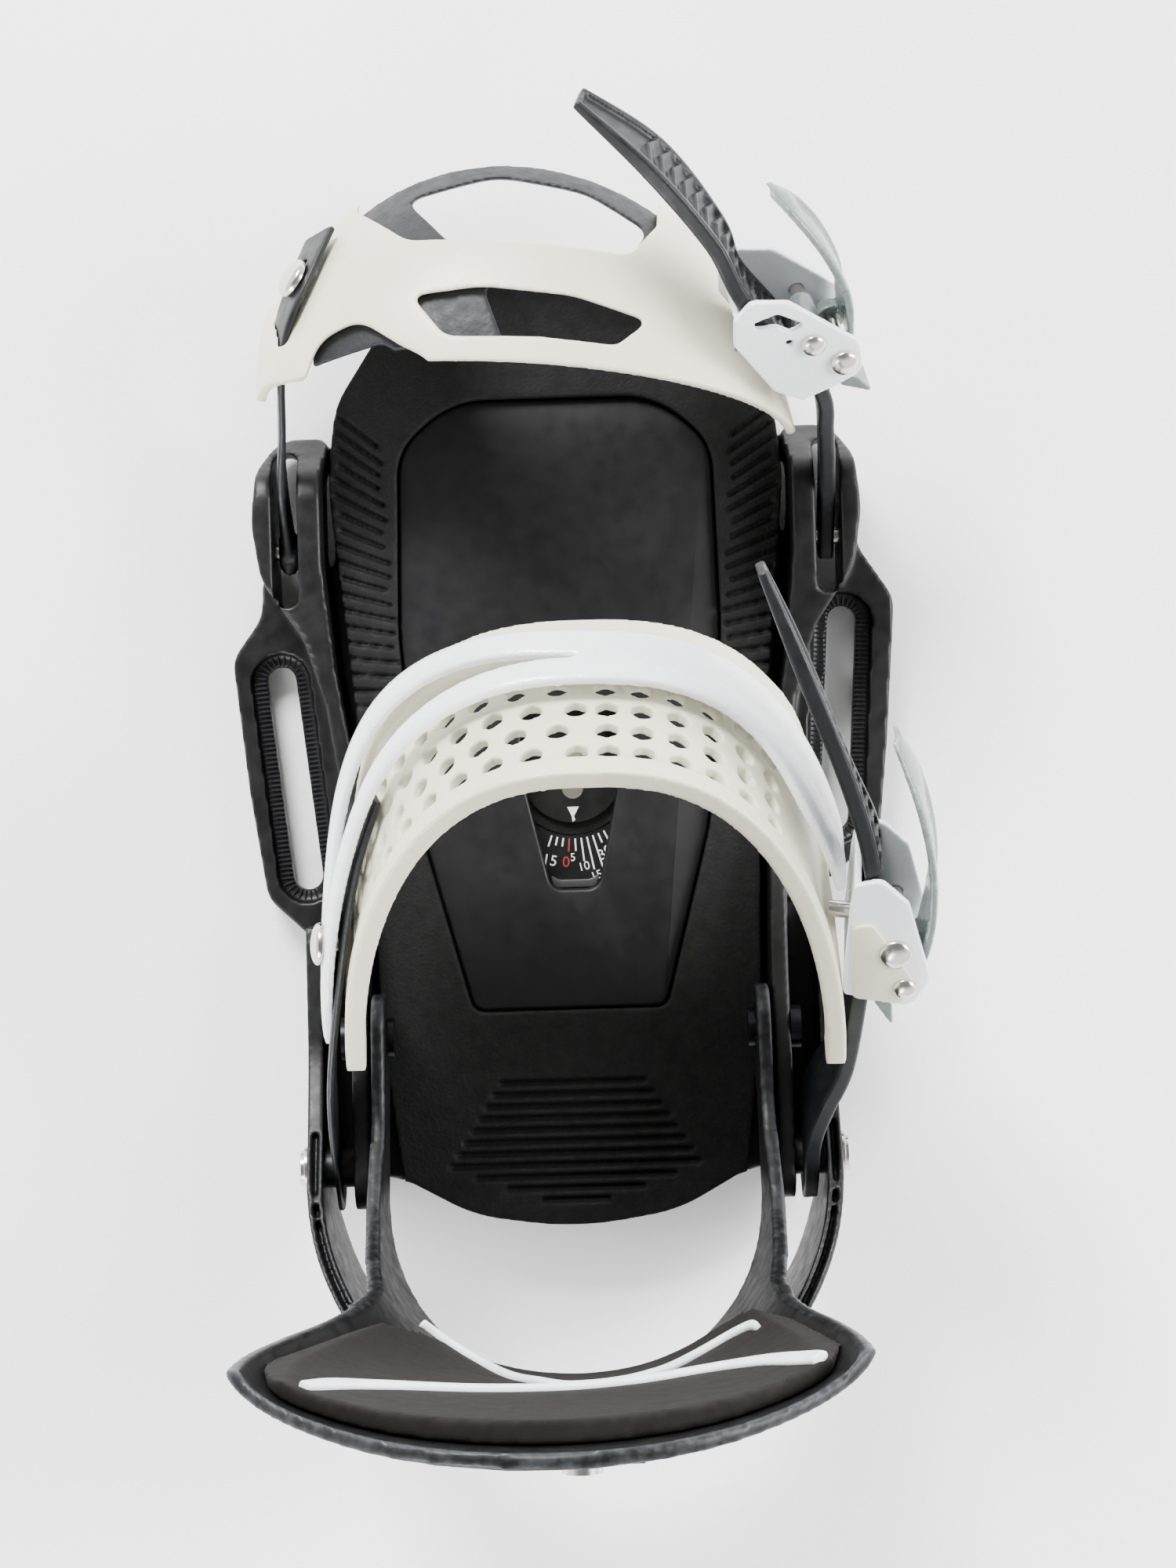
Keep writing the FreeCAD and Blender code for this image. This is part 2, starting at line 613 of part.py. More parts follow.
def frame_bands(low, high):
    """Two bands that part from the left end plate and meet again over the buckle."""
    upper = [(-90, 0.12, 0.34), (-78, 0.3, 0.6), (-62, 0.66, 0.84), (-40, 0.78, 0.92),
             (0, 0.65, 0.82), (30, 0.5, 0.78), (48, 0.36, 0.7), (64, 0.3, 0.6)]
    lower = [(-90, 0.12, 0.34), (-78, 0.14, 0.36), (-62, 0.28, 0.43), (-40, 0.46, 0.58),
             (0, 0.49, 0.64), (30, 0.44, 0.6), (48, 0.26, 0.5), (64, 0.2, 0.46)]
    return ankle_band(upper, low, high).fuse(ankle_band(lower, low, high))


def make_ankle_frame():
    hole = bolt_line(-77.0, 0.3, 2.2, -1.0, 12.0)
    return frame_bands(frame_low, frame_high).cut(hole).removeSplitter()


def bolt_line(angle, share, radius, low, high):
    """A cylinder square to the strap, between two lifts."""
    foot, tip = ankle_point(angle, share, low), ankle_point(angle, share, high)
    return Part.makeCylinder(radius, (tip - foot).Length, foot, tip - foot)


def ankle_station(angle, share, lift, wide, below, above):
    here = ankle_point(angle, share, lift)
    outwards = ankle_point(angle, share, lift + 1.0) - here
    return (here.x, here.y, here.z, outwards.x, outwards.y, outwards.z, wide, below, above)


def make_ankle_connector():
    """Strap from the left bolt up under the frame, with a row of holes to set its length."""
    x = -(wall_inner + wall_thick + hoop_half - hoop_thick) / 2
    stations = [(x, strap_axis_y - 7.5, strap_axis_z - 5.5, -1, 0, 0, 12, 1, 1),
                (x, strap_axis_y, strap_axis_z, -1, 0, 0, 18, 1, 1),
                (x - 0.6, -80.0, 47.0, -1, 0, 0, 17, 1, 1),
                (x + 0.2, -66.0, 57.0, -1, 0, 0, 15, 1, 1),
                ankle_station(-78, 0.29, 1.4, 15, 1, 1),
                ankle_station(-64, 0.42, 1.4, 15, 1, 1),
                ankle_station(-52, 0.54, 1.4, 14, 1, 1)]
    strap = ribbon(stations)
    strap = strap.fuse(rod(x - 1.0, x + 1.0, strap_axis_y, strap_axis_z, 10.0))
    strap = strap.cut(rod(x - 9, x + 9, strap_axis_y, strap_axis_z, 5.0 + running))
    strap = strap.cut(bolt_line(-77.0, 0.3, 2.2, -3.0, 12.0))
    for angle, share in ((-68.0, 0.38), (-60.0, 0.46)):
        strap = strap.cut(bolt_line(angle, share, 2.2, -3.0, 12.0))
    return strap.cut(frame_bands(frame_low - 0.1, frame_high)).removeSplitter()


def make_ankle_bolt():
    """Button-head bolt that joins the frame to the connector."""
    shank = bolt_line(-77.0, 0.3, 2.2 - running, 0.3, frame_high + 1.0)
    head = bolt_line(-77.0, 0.3, 5.2, frame_high + 0.1, frame_high + 2.6)
    return shank.fuse(head).removeSplitter()


ankle_buckle = Placed((69.01, -33.19, 85.34), (0.07, 0.83, 0.55), (1.0, 0.0, 0.1))
toe_buckle = Placed((54.35, 108.26, 63.97), (-0.55, 0.55, 0.63), (0.8, 0.45, 0.3))
lever_pin = (-9.5, ladder_thick / 2 + 8.0)     # along and outwards, in a buckle's own frame
pawl_pin = (0.0, ladder_thick / 2 + 5.0)
hub_radius = 3.8
fork_half = 5.2                # half the gap between the lever's two hubs


def through_buckle(at, wide):
    """Stations that take a ladder straight through its buckle."""
    half = ladder_thick / 2
    return [(*at.point(u, 0, 0), *at.w, wide, half, half) for u in (-15.0, 2.0, 19.0)]


def make_ankle_ladder():
    """Toothed strap from the right bolt up through the buckle to its free tip."""
    wide, half = ankle_ladder_wide, ladder_thick / 2
    x = (wall_inner + wall_thick + hoop_half - hoop_thick) / 2
    stations = [(x, strap_axis_y - 7.5, strap_axis_z - 5.5, 1, 0, 0, 12, half, half),
                (x, strap_axis_y, strap_axis_z, 1, 0, 0, 20, half, half),
                (x + 0.4, -84.0, 43.5, 1, 0, 0, wide, half, half),
                (x + 3.0, -76.0, 49.5, 1, 0, 0, wide, half, half),
                (67.0, -65.0, 58.5, 1, 0, 0.1, wide, half, half),
                *through_buckle(ankle_buckle, wide),
                (65.5, 2.0, 106.5, 1, 0.3, 0.1, wide, half, half),
                (55.0, 28.0, 118.0, 1, 0.35, 0.1, wide, half, half),
                (46.5, 48.0, 127.0, 1, 0.35, 0.1, 8.0, 1.2, 1.2)]
    ladder = ribbon(stations)
    return ladder.cut(rod(x - 9, x + 4, strap_axis_y, strap_axis_z, 5.0 + running))


def make_toe_ladder():
    """Toothed strap from the right tower up through the buckle to its free tip."""
    wide, half, x = toe_ladder_wide, ladder_thick / 2, tower_slot_x
    stations = [(x, toe_axis_y - 3.0, toe_axis_z - 2.6, 1, 0, 0, 9, half, half),
                (x, toe_axis_y, toe_axis_z, 1, 0, 0, 10, half, half),
                (x, 77.0, 28.0, 1, 0, 0, 12, half, half),
                (67.5, 92.0, 43.5, 1, 0.1, 0.1, wide, half, half),
                *through_buckle(toe_buckle, wide),
                (40.0, 130.5, 83.5, 0.7, 0.55, 0.4, wide, half, half),
                (26.0, 147.0, 91.5, 0.66, 0.55, 0.45, wide, half, half),
                (8.5, 161.0, 97.0, 0.62, 0.55, 0.5, 9.0, 1.2, 1.2)]
    ladder = ribbon(stations)
    boss = rod(x - half, x + half, toe_axis_y, toe_axis_z, 5.0)
    return ladder.fuse(boss).cut(rod(x - 9, x + 9, toe_axis_y, toe_axis_z, 2.0 + running))


def rivet(at, radius, low):
    """A rivet from a buckle's floor down into the strap that carries it."""
    top = -ladder_thick / 2 - 0.6
    return Part.makeCylinder(radius, top - low, at.point(2.0, 0, low), at.w)


def buckle_frame(at, ladder_wide, skirt):
    """White channel round a ladder: a floor under it and a cheek at each side."""
    inner = ladder_wide / 2 + 0.6
    outer = inner + 1.8
    under = -ladder_thick / 2 - 0.4
    floor = at.profile([(-13, under - 1.8, 0.4), (18, under - 1.8, 0.4), (18, under, 0.4),
                        (-13, under, 0.4)], -inner, inner)
    cheek = [(-13, under - 1.8, 1), (-14.5, 4.0, 1), (-15.2, 12.0, 4), (-7, 16.0, 5), (5, 12.0, 6),
             (14, 9.0, 3), (20, 2.0, 3), (18, under - 1.8, 1), (12, under - 1.8 - skirt, 2),
             (-6, under - 1.8 - skirt, 2)]
    frame = floor.fuse(at.profile(cheek, inner, outer))
    frame = frame.fuse(at.profile(cheek, -outer, -inner))
    for u, w in (lever_pin, pawl_pin):
        frame = frame.cut(at.pin(u, w, -outer - 1, outer + 1, 1.8))
    return frame.cut(rivet(at, 2.0, -12.0)).removeSplitter()


def buckle_pin(at, place, ladder_wide, head_radius):
    """A shouldered rivet through both cheeks."""
    outer = ladder_wide / 2 + 2.4
    pin = at.pin(*place, -outer - 0.05, outer + 0.05, 1.8 - 0.01)
    for low, high in ((-outer - 1.5, -outer - 0.05), (outer + 0.05, outer + 1.5)):
        pin = pin.fuse(at.pin(*place, low, high, head_radius))
    return pin.removeSplitter()


def make_lever(at, ladder_wide, line):
    """Long ratchet lever: a hub on its pin and a bowed blade over the ladder."""
    wide = ladder_wide - 1.0
    rows = []
    for u, w, share, thick in smooth(line, 3):
        half = wide * share / 2
        rows.append([at.point(u, -half, w), at.point(u, half, w),
                     at.point(u, half, w + thick), at.point(u, -half, w + thick)])
    blade = skin(rows)
    lever = blade
    for low, high in ((-wide / 2, -fork_half), (fork_half, wide / 2)):
        lever = lever.fuse(at.pin(*lever_pin, low, high, hub_radius))
    return lever.cut(at.pin(*lever_pin, -20, 20, 1.8 + running)).removeSplitter()


def make_release(at):
    """Locking pawl on its pin: a hook into the ladder and a tail that lifts it."""
    wide = 2 * (fork_half - gap)
    u, w = pawl_pin
    top = ladder_thick / 2
    hook = [(-1.0, w, 0), (-1.5, top + 1.0, 0.4), (-4.2, top + 0.3, 0.3),
            (-5.6, top + 0.6, 0.3), (-14.0, top + 1.4, 1), (-21.0, top + 1.8, 0.4),
            (-28.0, top + 7.0, 0.4), (-21.0, top + 6.0, 2), (-16.0, top + 3.4, 3),
            (-6.0, top + 3.6, 2), (-1.0, w + 2.0, 0)]
    body = at.profile(hook, -wide / 2, wide / 2)
    body = body.fuse(at.pin(u, w, -wide / 2, wide / 2, 3.2))
    return body.cut(at.pin(u, w, -20, 20, 1.8 + running)).removeSplitter()


def make_spring(at):
    """Torsion spring round the pawl's pin, wound from six-sided wire."""
    coil_radius, wire_radius, turns, per_turn = 2.6, 0.4, 4, 14
    rows = []
    for i in range(turns * per_turn + 1):
        angle = 2 * math.pi * i / per_turn
        along = fork_half + 0.5 + 2.3 * wire_radius * i / per_turn
        row = []
        for k in range(6):
            corner = 2 * math.pi * k / 6
            reach = coil_radius + wire_radius * math.cos(corner)
            row.append(at.point(pawl_pin[0] + reach * math.cos(angle),
                                along + wire_radius * math.sin(corner),
                                pawl_pin[1] + reach * math.sin(angle)))
        rows.append(row)
    return skin(rows)


ankle_lever_line = [(-9.5, 11.9, 0.9, 2.2), (0.0, 13.3, 1.0, 2.6), (11.0, 13.8, 1.0, 2.4),
                    (24.0, 12.2, 0.95, 2.2), (38.0, 8.0, 0.85, 2.0), (52.0, 1.4, 0.4, 1.6)]
toe_lever_line = [(-9.5, 11.9, 0.9, 2.2), (0.0, 17.2, 1.0, 2.6), (8.0, 19.9, 1.0, 2.4),
                  (18.0, 21.3, 0.95, 2.2), (28.0, 21.0, 0.7, 2.0), (36.5, 19.6, 0.3, 1.6)]


# ---------------------------------------------------------------- toe strap
toe_tilt = -6.0                # the inner side of the toe strap lies further forward


def toe_point(angle, share, lift):
    """A point on the toe strap: angle over the toes, share from rear edge to front edge."""
    def place(a, s):
        t = math.radians(a)
        c = math.cos(t)
        slant = toe_tilt * math.sin(t)
        rear = V(-4.5 + 62.5 * math.sin(t), 90.0 + 11.0 * c + slant, 38.0 + 40.0 * c ** 0.8)
        front = V(-6.0 + 62.0 * math.sin(t), 94.0 + 61.0 * c + slant, 29.0 + 11.0 * c)
        bulge = 9.0 * 4 * s * (1 - s) * c
        return rear + (front - rear) * s + V(0, 0.5 * bulge, 0.86 * bulge)

    base = place(angle, share)
    along = place(angle + 1.0, share) - place(angle - 1.0, share)
    wide = place(angle, share + 0.02) - place(angle, share - 0.02)
    normal = along.cross(wide)
    normal.normalize()
    t = math.radians(angle)
    if normal.dot(V(math.sin(t), 0.2, math.cos(t))) < 0:
        normal = normal * -1
    return base + normal * lift


def wing_lift(angle):
    """The cap's left wing stands out, so that its connector passes under it."""
    share = max(0.0, min(1.0, (-60.0 - angle) / 14.0))
    return 4.0 * share * share * (3 - 2 * share)


def toe_sheet(low, high, first=0.0, last=1.0, wing=0.0):
    """The whole curved sheet over the toes between two lifts."""
    rows = []
    for i in range(25):
        angle = -84.0 + 7.0 * i
        out = wing * wing_lift(angle)
        shares = [first + (last - first) * k / 6 for k in range(7)]
        rows.append([toe_point(angle, s, low + out) for s in shares]
                    + [toe_point(angle, s, high + out) for s in reversed(shares)])
    return rows


def sheet_solid(rows):
    """A closed solid from rows of points, with every patch split into two flat triangles."""
    count = len(rows[0])
    faces = []

    def triangle(a, b, c):
        faces.append(Part.Face(Part.makePolygon([a, b, c, a])))

    for near, far in zip(rows, rows[1:]):
        for k in range(count):
            n = (k + 1) % count
            triangle(near[k], near[n], far[n])
            triangle(near[k], far[n], far[k])
    half = count // 2
    for row in (rows[0], rows[-1]):
        for k in range(half - 1):
            triangle(row[k], row[k + 1], row[count - 2 - k])
            triangle(row[k], row[count - 2 - k], row[count - 1 - k])
    solid = Part.Solid(Part.Shell(faces))
    return solid if solid.Volume > 0 else solid.reversed()


toe_slot = [(-33.0, 119.0, 2), (-16.0, 120.5, 30), (6.0, 117.5, 30), (24.0, 111.0, 2),
            (16.0, 105.0, 4), (-3.0, 107.5, 30), (-25.0, 108.5, 6)]
toe_opening = [(-35.0, 146.0, 3), (-12.0, 151.5, 20), (10.0, 146.5, 20), (25.0, 136.0, 4),
               (20.0, 128.0, 5), (0.0, 131.0, 30), (-24.0, 133.0, 4)]
claw_notch = [(-61.0, 88.0, 0), (-61.5, 97.0, 0), (-56.0, 110.0, 10), (-46.0, 114.0, 8),
              (-36.0, 107.0, 12), (-28.0, 102.5, 10), (-26.0, 88.0, 0)]
liner_slot = [(-16.0, 121.5, 3), (5.0, 119.0, 20), (25.0, 112.0, 3), (14.0, 103.5, 4),
              (-11.0, 106.5, 4)]


def make_toe_cap():
    """Outer cap of the toe strap: side wings, a middle band and a rear band."""
    sheet = sheet_solid(toe_sheet(0.3, 2.8, wing=1.0))
    for corners in (toe_slot, claw_notch):
        sheet = sheet.cut(plate(corners, 0.0, 140.0))
    front = [(-44.0, 170.0, 0), (-47.0, 144.0, 0), (-34.0, 133.5, 8), (-24.0, 133.0, 0),
             (0.0, 131.0, 30), (20.0, 128.0, 5), (27.0, 137.0, 0), (30.0, 170.0, 0)]
    sheet = sheet.cut(plate(front, 0.0, 140.0))
    sheet = sheet.cut(rivet(toe_buckle, 2.0, -20.0))
    sheet = sheet.cut(toe_connector_strap(0.15))
    return sheet.cut(toe_bolt_line(2.2, -3.0, 14.0)).removeSplitter()


def make_toe_liner():
    """Dark soft sheet under the cap, which shows as the front band."""
    sheet = sheet_solid(toe_sheet(-2.2, 0.0, 0.06, 1.0))
    keep = [(-58.0, 170.0, 0), (-58.0, 104.0, 0), (-40.0, 108.0, 4), (-30.0, 100.0, 0),
            (40.0, 93.0, 0), (48.0, 98.0, 6), (44.0, 170.0, 0)]
    sheet = sheet.common(plate(keep, 0.0, 140.0))
    for corners in (liner_slot, toe_opening):
        sheet = sheet.cut(plate(corners, 0.0, 140.0))
    return sheet.removeSplitter()


def toe_bolt_line(radius, low, high):
    foot, tip = toe_point(-57.0, 0.66, low), toe_point(-57.0, 0.66, high)
    return Part.makeCylinder(radius, (tip - foot).Length, foot, tip - foot)


def toe_station(angle, share, lift, wide):
    here = toe_point(angle, share, lift)
    outwards = toe_point(angle, share, lift + 1.0) - here
    return (here.x, here.y, here.z, outwards.x, outwards.y, outwards.z, wide, 1.0, 1.0)


def toe_connector_strap(extra):
    """The strap's plain band from the left tower up over the cap's wing, wider by extra."""
    x = -tower_slot_x
    stations = [(x, toe_axis_y - 3.0, toe_axis_z - 2.6, -1, 0, 0, 8, 1.8, 1.8),
                (x, toe_axis_y, toe_axis_z, -1, 0, 0, 9, 1.8, 1.8),
                (x - 0.5, 78.0, 26.0, -1, 0, 0, 10, 1.2, 1.2),
                (-68.2, 92.0, 34.0, -1, 0, 0.1, 11, 1.0, 1.0),
                toe_station(-76, 0.42, 1.6, 12),
                toe_station(-66, 0.52, 4.2, 13),
                toe_station(-57, 0.66, 5.0, 13),
                toe_station(-49, 0.88, 5.4, 13)]
    return ribbon([(*s[:6], s[6] + 2 * extra, s[7] + extra, s[8] + extra) for s in stations])


def make_toe_connector():
    """Strap that carries the toe cap's left wing, with holes to set its length."""
    x = -tower_slot_x
    strap = toe_connector_strap(0.0)
    strap = strap.fuse(rod(x - 2.4, x + 2.4, toe_axis_y, toe_axis_z, 4.6))
    strap = strap.cut(rod(x - 9, x + 9, toe_axis_y, toe_axis_z, 2.0 + running))
    return strap.cut(toe_bolt_line(2.2, -3.0, 14.0)).removeSplitter()


def make_toe_bolt():
    shank = toe_bolt_line(2.2 - running, 0.4, 6.8)
    return shank.fuse(toe_bolt_line(5.0, 6.3, 8.9)).removeSplitter()


# ---------------------------------------------------------------- write every piece
def main():
    os.makedirs("parts", exist_ok=True)
    makers = {
        "base_gasket": make_gasket, "baseplate": make_baseplate, "heel_hoop": make_hoop,
        "footbed_board": make_board, "footbed_cushion": make_cushion,
        "toe_ramp": make_toe_ramp, "scale_plate": make_scale, "stance_dial": make_dial,
        "dial_stud": make_dial_stud, "strap_bolts": make_strap_bolts,
        "strap_bushes": make_strap_bushes, "fold_bolts": make_fold_bolts,
        "fold_nuts": make_fold_nuts, "toe_pins": make_toe_pins,
        "hoop_screws": make_hoop_screws, "highback_shell": make_highback,
        "highback_pad": make_highback_pad, "highback_trim": make_highback_trim,
        "lean_rail": make_lean_rail, "lean_block": make_lean_block,
        "lean_screw": make_lean_screw, "ankle_pad": make_ankle_pad,
        "ankle_frame": make_ankle_frame, "ankle_connector": make_ankle_connector,
        "ankle_bolt": make_ankle_bolt, "ankle_ladder": make_ankle_ladder,
        "toe_cap": make_toe_cap, "toe_liner": make_toe_liner,
        "toe_connector": make_toe_connector, "toe_bolt": make_toe_bolt,
        "toe_ladder": make_toe_ladder,
    }
    for name, maker in makers.items():
        save(name, maker())
    for name, at, wide, line, skirt, deep in (
            ("ankle", ankle_buckle, ankle_ladder_wide, ankle_lever_line, 0.5, -9.0),
            ("toe", toe_buckle, toe_ladder_wide, toe_lever_line, 4.0, -12.0)):
        save(name + "_buckle", buckle_frame(at, wide, skirt))
        save(name + "_rivet", rivet(at, 2.0 - 0.01, deep))
        save(name + "_lever_pin", buckle_pin(at, lever_pin, wide, 3.4))
        save(name + "_pawl_pin", buckle_pin(at, pawl_pin, wide, 3.0))
        save(name + "_lever", make_lever(at, wide, line))
        save(name + "_release", make_release(at))
        save(name + "_spring", make_spring(at))


main()
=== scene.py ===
import math
import bmesh
import bpy
import numpy as np
from mathutils import Matrix, Vector


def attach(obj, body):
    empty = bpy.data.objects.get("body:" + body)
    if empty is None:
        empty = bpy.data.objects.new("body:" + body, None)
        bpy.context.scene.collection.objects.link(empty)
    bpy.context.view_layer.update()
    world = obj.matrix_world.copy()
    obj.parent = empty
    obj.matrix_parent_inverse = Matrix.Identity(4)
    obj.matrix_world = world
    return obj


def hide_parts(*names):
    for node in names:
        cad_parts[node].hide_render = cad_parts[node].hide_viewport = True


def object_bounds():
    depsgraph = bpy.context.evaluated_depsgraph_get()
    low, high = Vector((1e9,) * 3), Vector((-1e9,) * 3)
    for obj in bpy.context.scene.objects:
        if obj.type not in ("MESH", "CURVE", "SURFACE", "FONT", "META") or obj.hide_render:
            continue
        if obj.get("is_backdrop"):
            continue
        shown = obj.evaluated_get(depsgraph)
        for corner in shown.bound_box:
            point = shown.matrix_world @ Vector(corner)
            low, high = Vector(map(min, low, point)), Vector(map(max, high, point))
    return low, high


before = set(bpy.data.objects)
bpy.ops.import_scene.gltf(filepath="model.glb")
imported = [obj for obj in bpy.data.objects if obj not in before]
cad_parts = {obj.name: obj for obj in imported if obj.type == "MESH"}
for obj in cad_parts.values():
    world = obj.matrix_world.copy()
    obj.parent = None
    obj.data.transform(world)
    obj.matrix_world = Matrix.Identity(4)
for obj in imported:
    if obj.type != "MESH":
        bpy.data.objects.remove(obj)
cad_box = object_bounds()

# Shapes are worked out in millimetres as (points, faces) and become metres in mesh_of.
# +Y points to the toe, +X to the outer side of a right foot, and +Z up from the board.
MM = 0.001
scene = bpy.context.scene
# Pivots that run along X, as y and z: the ankle strap's, the highback's and the toe strap's.
ankle_pivot, fold_pivot, toe_pivot = (-94.0, 36.0), (-62.0, 34.0), (62.0, 15.0)
bolt_radius, eye_radius = 3.0, 5.05


# ---------------------------------------------------------------- shapes
def smooth_run(stations, steps):
    """More stations between the chosen ones, along a Catmull-Rom curve through them all."""
    run = []
    for i in range(len(stations) - 1):
        around = [stations[max(i - 1, 0)], stations[i], stations[i + 1],
                  stations[min(i + 2, len(stations) - 1)]]
        for k in range(steps):
            t = k / steps
            run.append([0.5 * (2 * b + (c - a) * t + (2 * a - 5 * b + 4 * c - d) * t * t
                               + (3 * b - a - 3 * c + d) * t ** 3)
                        for a, b, c, d in zip(*around)])
    return run + [list(stations[-1])]


def loop_of(corners, arc_steps=8):
    """A closed line of points through corners given as u, v, radius."""
    loop = []
    for i, (u, v, radius) in enumerate(corners):
        here = Vector((u, v))
        before = Vector(corners[i - 1][:2]) - here
        after = Vector(corners[(i + 1) % len(corners)][:2]) - here
        room = 0.48 * min(before.length, after.length)
        before.normalize()
        after.normalize()
        turn = math.acos(max(-1.0, min(1.0, before.dot(after))))
        reach = min(radius / max(math.tan(turn / 2), 1e-6), room) if radius else 0.0
        if reach < 1e-4 or turn > math.pi - 1e-3:
            loop.append((u, v))
            continue
        start, end = here + before * reach, here + after * reach
        for k in range(arc_steps + 1):
            t = k / arc_steps
            point = start * (1 - t) ** 2 + here * 2 * t * (1 - t) + end * t * t
            loop.append((point.x, point.y))
    return loop


def lofted(rings):
    """Skin through closed rings of equal count, with both ends closed."""
    count = len(rings[0])
    points = [p for ring in rings for p in ring]
    faces = [[i * count + k, i * count + (k + 1) % count,
              (i + 1) * count + (k + 1) % count, (i + 1) * count + k]
             for i in range(len(rings) - 1) for k in range(count)]
    last = (len(rings) - 1) * count
    return points, faces + [list(range(count))[::-1], [last + k for k in range(count)]]


def prism(loop, place, low, high):
    """A prism over a flat loop; place turns u, v and a height into a point."""
    return lofted([[place(u, v, w) for u, v in loop] for w in (low, high)])


def from_above(corners, low, high):
    return prism(loop_of(corners), lambda u, v, w: Vector((u, v, w)), low, high)


def from_side(corners, low=-110.0, high=110.0):
    return prism(loop_of(corners), lambda u, v, w: Vector((w, u, v)), low, high)


def from_front(corners, low=-190.0, high=-30.0):
    return prism(loop_of(corners), lambda u, v, w: Vector((u, w, v)), low, high)


def sheet(place, us, vs, low, high):
    """A closed curved sheet; low and high are lifts, or functions of u and v that give them."""
    lift_low = low if callable(low) else lambda u, v: low
    lift_high = high if callable(high) else lambda u, v: high
    points = [place(u, v, lift(u, v)) for lift in (lift_low, lift_high) for u in us for v in vs]
    n, m = len(us), len(vs)
    faces = []
    for i in range(n - 1):
        for j in range(m - 1):
            a = i * m + j
            faces.append([a, a + 1, a + m + 1, a + m])
            faces.append([a + n * m, a + n * m + m, a + n * m + m + 1, a + n * m + 1])
    rim = ([i * m for i in range(n)] + [(n - 1) * m + j for j in range(1, m)]
           + [i * m + m - 1 for i in range(n - 2, -1, -1)] + list(range(m - 2, 0, -1)))
    faces += [[a, b, b + n * m, a + n * m] for a, b in zip(rim, rim[1:] + rim[:1])]
    return points, faces


def joined(*shapes):
    points, faces = [], []
    for more_points, more_faces in shapes:
        start = len(points)
        points = points + list(more_points)
        faces = faces + [[i + start for i in face] for face in more_faces]
    return points, faces


def spread(low, high, count):
    return [low + (high - low) * i / (count - 1) for i in range(count)]


def box_shape(low, high):
    (a, b, c), (d, e, f) = low, high
    return lofted([[Vector((a, b, z)), Vector((d, b, z)), Vector((d, e, z)), Vector((a, e, z))]
                   for z in (c, f)])


def rod_shape(foot, tip, radius, sides=24):
    axis = (tip - foot).normalized()
    side = axis.orthogonal().normalized()
    other = axis.cross(side)
    ring = [(math.cos(2 * math.pi * k / sides), math.sin(2 * math.pi * k / sides))
            for k in range(sides)]
    return lofted([[end + side * radius * c + other * radius * s for c, s in ring]
                   for end in (foot, tip)])


def across_rod(pivot, start, end, radius):
    """A rod along X, from start to end, through a pivot's y and z."""
    return rod_shape(Vector((start, *pivot)), Vector((end, *pivot)), radius)


def turned(foot, axis, profile, sides=40):
    """A lathe-turned form; profile lists radius and height along the axis."""
    axis = axis.normalized()
    side = axis.orthogonal().normalized()
    other = axis.cross(side)
    return lofted([[foot + axis * h + side * r * math.cos(2 * math.pi * k / sides)
                    + other * r * math.sin(2 * math.pi * k / sides) for k in range(sides)]
                   for r, h in profile])


def mesh_of(shape):
    mesh = bpy.data.meshes.new("form")
    mesh.from_pydata([Vector(p) * MM for p in shape[0]], [], shape[1])
    work = bmesh.new()
    work.from_mesh(mesh)
    bmesh.ops.recalc_face_normals(work, faces=work.faces)
    work.to_mesh(mesh)
    work.free()
    return mesh


def cad_form(node):
    """A node's own form, with its loose triangles merged."""
    work = bmesh.new()
    work.from_mesh(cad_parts[node].data)
    bmesh.ops.remove_doubles(work, verts=work.verts, dist=1e-6)
    points = [v.co / MM for v in work.verts]
    faces = [[v.index for v in f.verts] for f in work.faces]
    work.free()
    return points, faces


def shown(mesh):
    piece = bpy.data.objects.new("form", mesh)
    scene.collection.objects.link(piece)
    return piece


def settled(piece):
    """The piece's mesh with its modifiers applied; the piece itself goes."""
    seen = piece.evaluated_get(bpy.context.evaluated_depsgraph_get())
    mesh = bpy.data.meshes.new_from_object(seen)
    bpy.data.objects.remove(piece)
    return mesh


def machined(shape, cuts=(), keeps=(), crossing=False):
    """The shape with forms taken out of it or kept from it; crossing ones may overlap."""
    piece = shown(mesh_of(shape))
    tools = []
    for form, way in [(c, "DIFFERENCE") for c in cuts] + [(k, "INTERSECT") for k in keeps]:
        tool = shown(mesh_of(form))
        tools.append(tool)
        step = piece.modifiers.new("cut", "BOOLEAN")
        step.operation, step.object, step.solver = way, tool, "EXACT"
        step.use_self = crossing
    mesh = settled(piece)
    for tool in tools:
        bpy.data.objects.remove(tool)
    return mesh


def moulded(meshes, grain=0.6, passes=3):
    """Meshes melted into one skin with softened edges, as a mould leaves them."""
    work = bmesh.new()
    for mesh in meshes:
        work.from_mesh(mesh if isinstance(mesh, bpy.types.Mesh) else mesh_of(mesh))
    whole = bpy.data.meshes.new("form")
    work.to_mesh(whole)
    work.free()
    piece = shown(whole)
    step = piece.modifiers.new("melt", "REMESH")
    step.mode, step.voxel_size = "VOXEL", grain * MM
    step = piece.modifiers.new("soften", "SMOOTH")
    step.factor, step.iterations = 0.5, passes
    return settled(piece)


def bevelled(mesh, width, steps=3):
    """Clean flat-faced mesh with its sharp edges rounded."""
    piece = shown(mesh)
    step = piece.modifiers.new("round", "BEVEL")
    step.width, step.segments, step.limit_method = width * MM, steps, "ANGLE"
    step.angle_limit = math.radians(40)
    return settled(piece)


